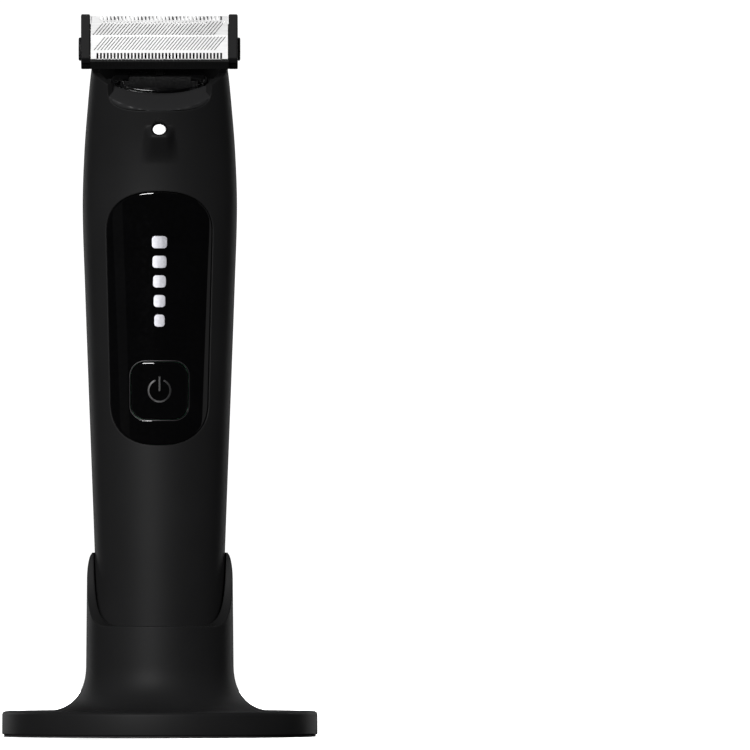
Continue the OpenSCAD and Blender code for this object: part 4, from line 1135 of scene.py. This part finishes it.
top_rel = guard_high[2] - pivot[2]
low_rel = guard_low[2] - pivot[2]
C0, C1, D0, D1 = -0.3, 3.05, 3.45, 6.85
slant = round(0.84 * (D1 - C0) / GUARD_PITCH) * GUARD_PITCH / (D1 - C0)
sheet("guard_face", -6.0, 0.3, 17.1,
      [(low_rel, -2.62, 0, "plain", 1, 0.48), (-2.62, -1.0, 0, "slots", 2, 0.48), (-1.0, C0, 0, "plain", 1, 0.24),
       (C0, C1, slant, "slots", 4, 0.24), (C1, BEND, slant, "plain", 1, 0.24), (BEND, D0, slant, "plain", 1, 0.24),
       (D0, D1, slant, "slots", 4, 0.24), (D1, D1 + 0.3, 0, "plain", 1, 0.45),
       (D1 + 0.3, top_rel, 0, "slots", 2, 0.45)],
      GUARD_PITCH, 37, "head", "guard_metal", finishes["guard_white"], ["guard_plate"])
sheet("blade_face", -5.6, 0.3, 15.9,
      [(-0.9, 3.3, 0, "plain", 1, 0.5), (3.3, 6.8, -1.2, "slots", 5, 0.5), (6.8, 6.95, 0, "plain", 1, 0.5),
       (6.95, 8.15, -0.25, "slots", 2, 0.5)],
      0.97, 32, "cutter", "blade_steel", finishes["blade_steel"], ["moving_blade"])

HEAD_SIDE, HEAD_W = 17.3, 19.55


def end_cap(side):
    """Side cap of the head: its outline in y and z carried along x, all its edges rounded."""
    a = np.radians(np.arange(225, 391, 7.5))
    outline = np.vstack([[[-5.9, 8.65], [-5.9, -2.4], [-4.6, -3.6]], np.stack([5 * np.cos(a), 5 * np.sin(a)], -1),
                         [[2.4, 5.6], [-1.9, 8.2], [-2.2, 8.65]]]) + pivot[1:]
    x0, x1 = sorted((side * (HEAD_SIDE - 0.03), side * HEAD_W))
    name = "end_cap_right" if side > 0 else "end_cap_left"
    put(name + "_face", *prism_x(outline, x0, x1), "head", "matte_black", finishes["matte_black"], [name], bevel=0.28)


end_cap(-1)
end_cap(1)


def comb_ribs():
    """Comb bar under the guard: its outline in y and z carried along x, with a fine rib between each two teeth."""
    outline = np.array([[-5.7, -2.65], [-5.7, -3.2], [-3.4, -5], [-1.9, -5], [-1.9, -4.3], [-2.6, -3.9],
                        [-3.2, -3.42], [-3.84, -2.68]])
    bar = prism_x(outline + pivot[1:], -HEAD_SIDE, HEAD_SIDE)
    parts = [bar]
    rib = np.array([[-5.88, -2.72], [-5.88, -3.12], [-4.7, -4.15], [-4.5, -3.6], [-5.4, -2.72]]) + pivot[1:]
    for k in range(38):
        x = (k - 18.5) * GUARD_PITCH
        parts.append(prism_x(rib, x - 0.14, x + 0.14))
    put("comb_bar_face", *join(*parts), "head", "matte_black", finishes["matte_black"], ["comb_bar"])


comb_ribs()


def axle_covers():
    """Round covers on the head's ends: a flat disc with a rounded rim, turned round the rocking axis."""
    profile = np.array([[0, 0.62], [2.5, 0.62], [2.72, 0.57], [2.85, 0.45], [2.9, 0.3], [2.9, 0.0], [0, 0.0]])
    right = turned(profile, pivot + [HEAD_W + 0.02, 0, 0], [1, 0, 0], 56)
    put("axle_covers", *join(right, mirror_x(right)), "head", "gloss_black", finishes["matte_black"], ["axle_caps"])


axle_covers()

# ---------------------------------------------------------------- room and light


def plain(name, colour, rough):
    """One even colour, for the floor."""
    m = bpy.data.materials.new(name)
    m.use_nodes = True
    shader = m.node_tree.nodes["Principled BSDF"]
    shader.inputs["Base Color"].default_value = (*colour, 1)
    shader.inputs["Roughness"].default_value = rough
    shader.inputs["Specular IOR Level"].default_value = 0
    return m


def studio():
    """Pale round floor: rings of points round the stand, out to 1.2 m. It is kept out of the object's reflections,
    as black flags do in a studio."""
    r = np.array([0.0, 0.3, 0.8, 1.2])[:, None]
    a = np.linspace(0, 2 * math.pi, 96, endpoint=False)
    points = np.stack([r * np.cos(a), r * np.sin(a), np.zeros((4, 96))], -1).reshape(-1, 3)
    points, faces = weld(points, grid_faces(4, 96, wrap=True))
    mesh = bpy.data.meshes.new("studio")
    mesh.from_pydata(points.tolist(), [], [list(dict.fromkeys(f)) for f in faces.tolist()])
    mesh.materials.append(plain("studio_white", (1.0, 1.0, 1.0), 0.9))
    floor = bpy.data.objects.new("studio", mesh)
    floor.visible_diffuse = floor.visible_glossy = False
    bpy.context.scene.collection.objects.link(floor)


def area_light(name, place, aim, width, height, power, glossy=True):
    """Soft rectangular lamp turned to its aim; one that isn't glossy lights surfaces but leaves no highlight."""
    data = bpy.data.lights.new(name, "AREA")
    data.shape = "RECTANGLE"
    data.size, data.size_y = width, height
    data.energy = power
    lamp = bpy.data.objects.new(name, data)
    lamp.location = place
    way = np.array(aim, float) - place
    yaw = math.atan2(way[0], way[1])
    pitch = math.atan2(way[2], math.hypot(way[0], way[1]))
    lamp.rotation_euler = (math.pi / 2 + pitch, 0, -yaw)
    lamp.visible_glossy = glossy
    bpy.context.scene.collection.objects.link(lamp)


studio()
area_light("key", (-0.82, -2.57, 0.92), (0, 0, 0.09), 0.9, 0.9, 96)
area_light("low_fill", (-0.3, -2.6, 0.32), (0, 0, 0.12), 1.2, 0.4, 12, False)
area_light("rear_key", (0.5, 2.45, 1.2), (0, 0, 0.09), 0.9, 0.9, 320, False)
area_light("left_side", (-2.4, 0.5, 1.2), (0, 0, 0.09), 0.9, 0.9, 42, False)
area_light("right_side", (2.4, 0.5, 1.2), (0, 0, 0.09), 0.9, 0.9, 34, False)
area_light("top", (0, 0.1, 1.9), (0, 0.1, 0), 1.6, 1.6, 2.0)
area_light("left_rim", (-0.72, 1.2, 0.3), (0, 0, 0.1), 0.3, 1.0, 2.4)
area_light("right_rim", (0.72, 1.2, 0.3), (0, 0, 0.1), 0.3, 1.0, 2.0)
area_light("right_glow", (1.6, -0.45, 0.25), (0, 0, 0.1), 0.35, 1.2, 0.22)
area_light("left_glow", (-1.4, -1.0, 0.25), (0, 0, 0.1), 0.5, 1.2, 0.045)
world = bpy.data.worlds.new("world")
world.use_nodes = True
room = world.node_tree
dim = room.nodes["Background"]
dim.inputs["Color"].default_value = (1, 1, 1, 1)
dim.inputs["Strength"].default_value = 0.008
pale = room.nodes.new("ShaderNodeBackground")
pale.inputs["Color"].default_value = (1, 1, 1, 1)
pale.inputs["Strength"].default_value = 1.1
seen = room.nodes.new("ShaderNodeLightPath")
either = room.nodes.new("ShaderNodeMixShader")
room.links.new(seen.outputs["Is Camera Ray"], either.inputs["Fac"])
room.links.new(dim.outputs["Background"], either.inputs[1])
room.links.new(pale.outputs["Background"], either.inputs[2])
room.links.new(either.outputs["Shader"], room.nodes["World Output"].inputs["Surface"])
bpy.context.scene.world = world
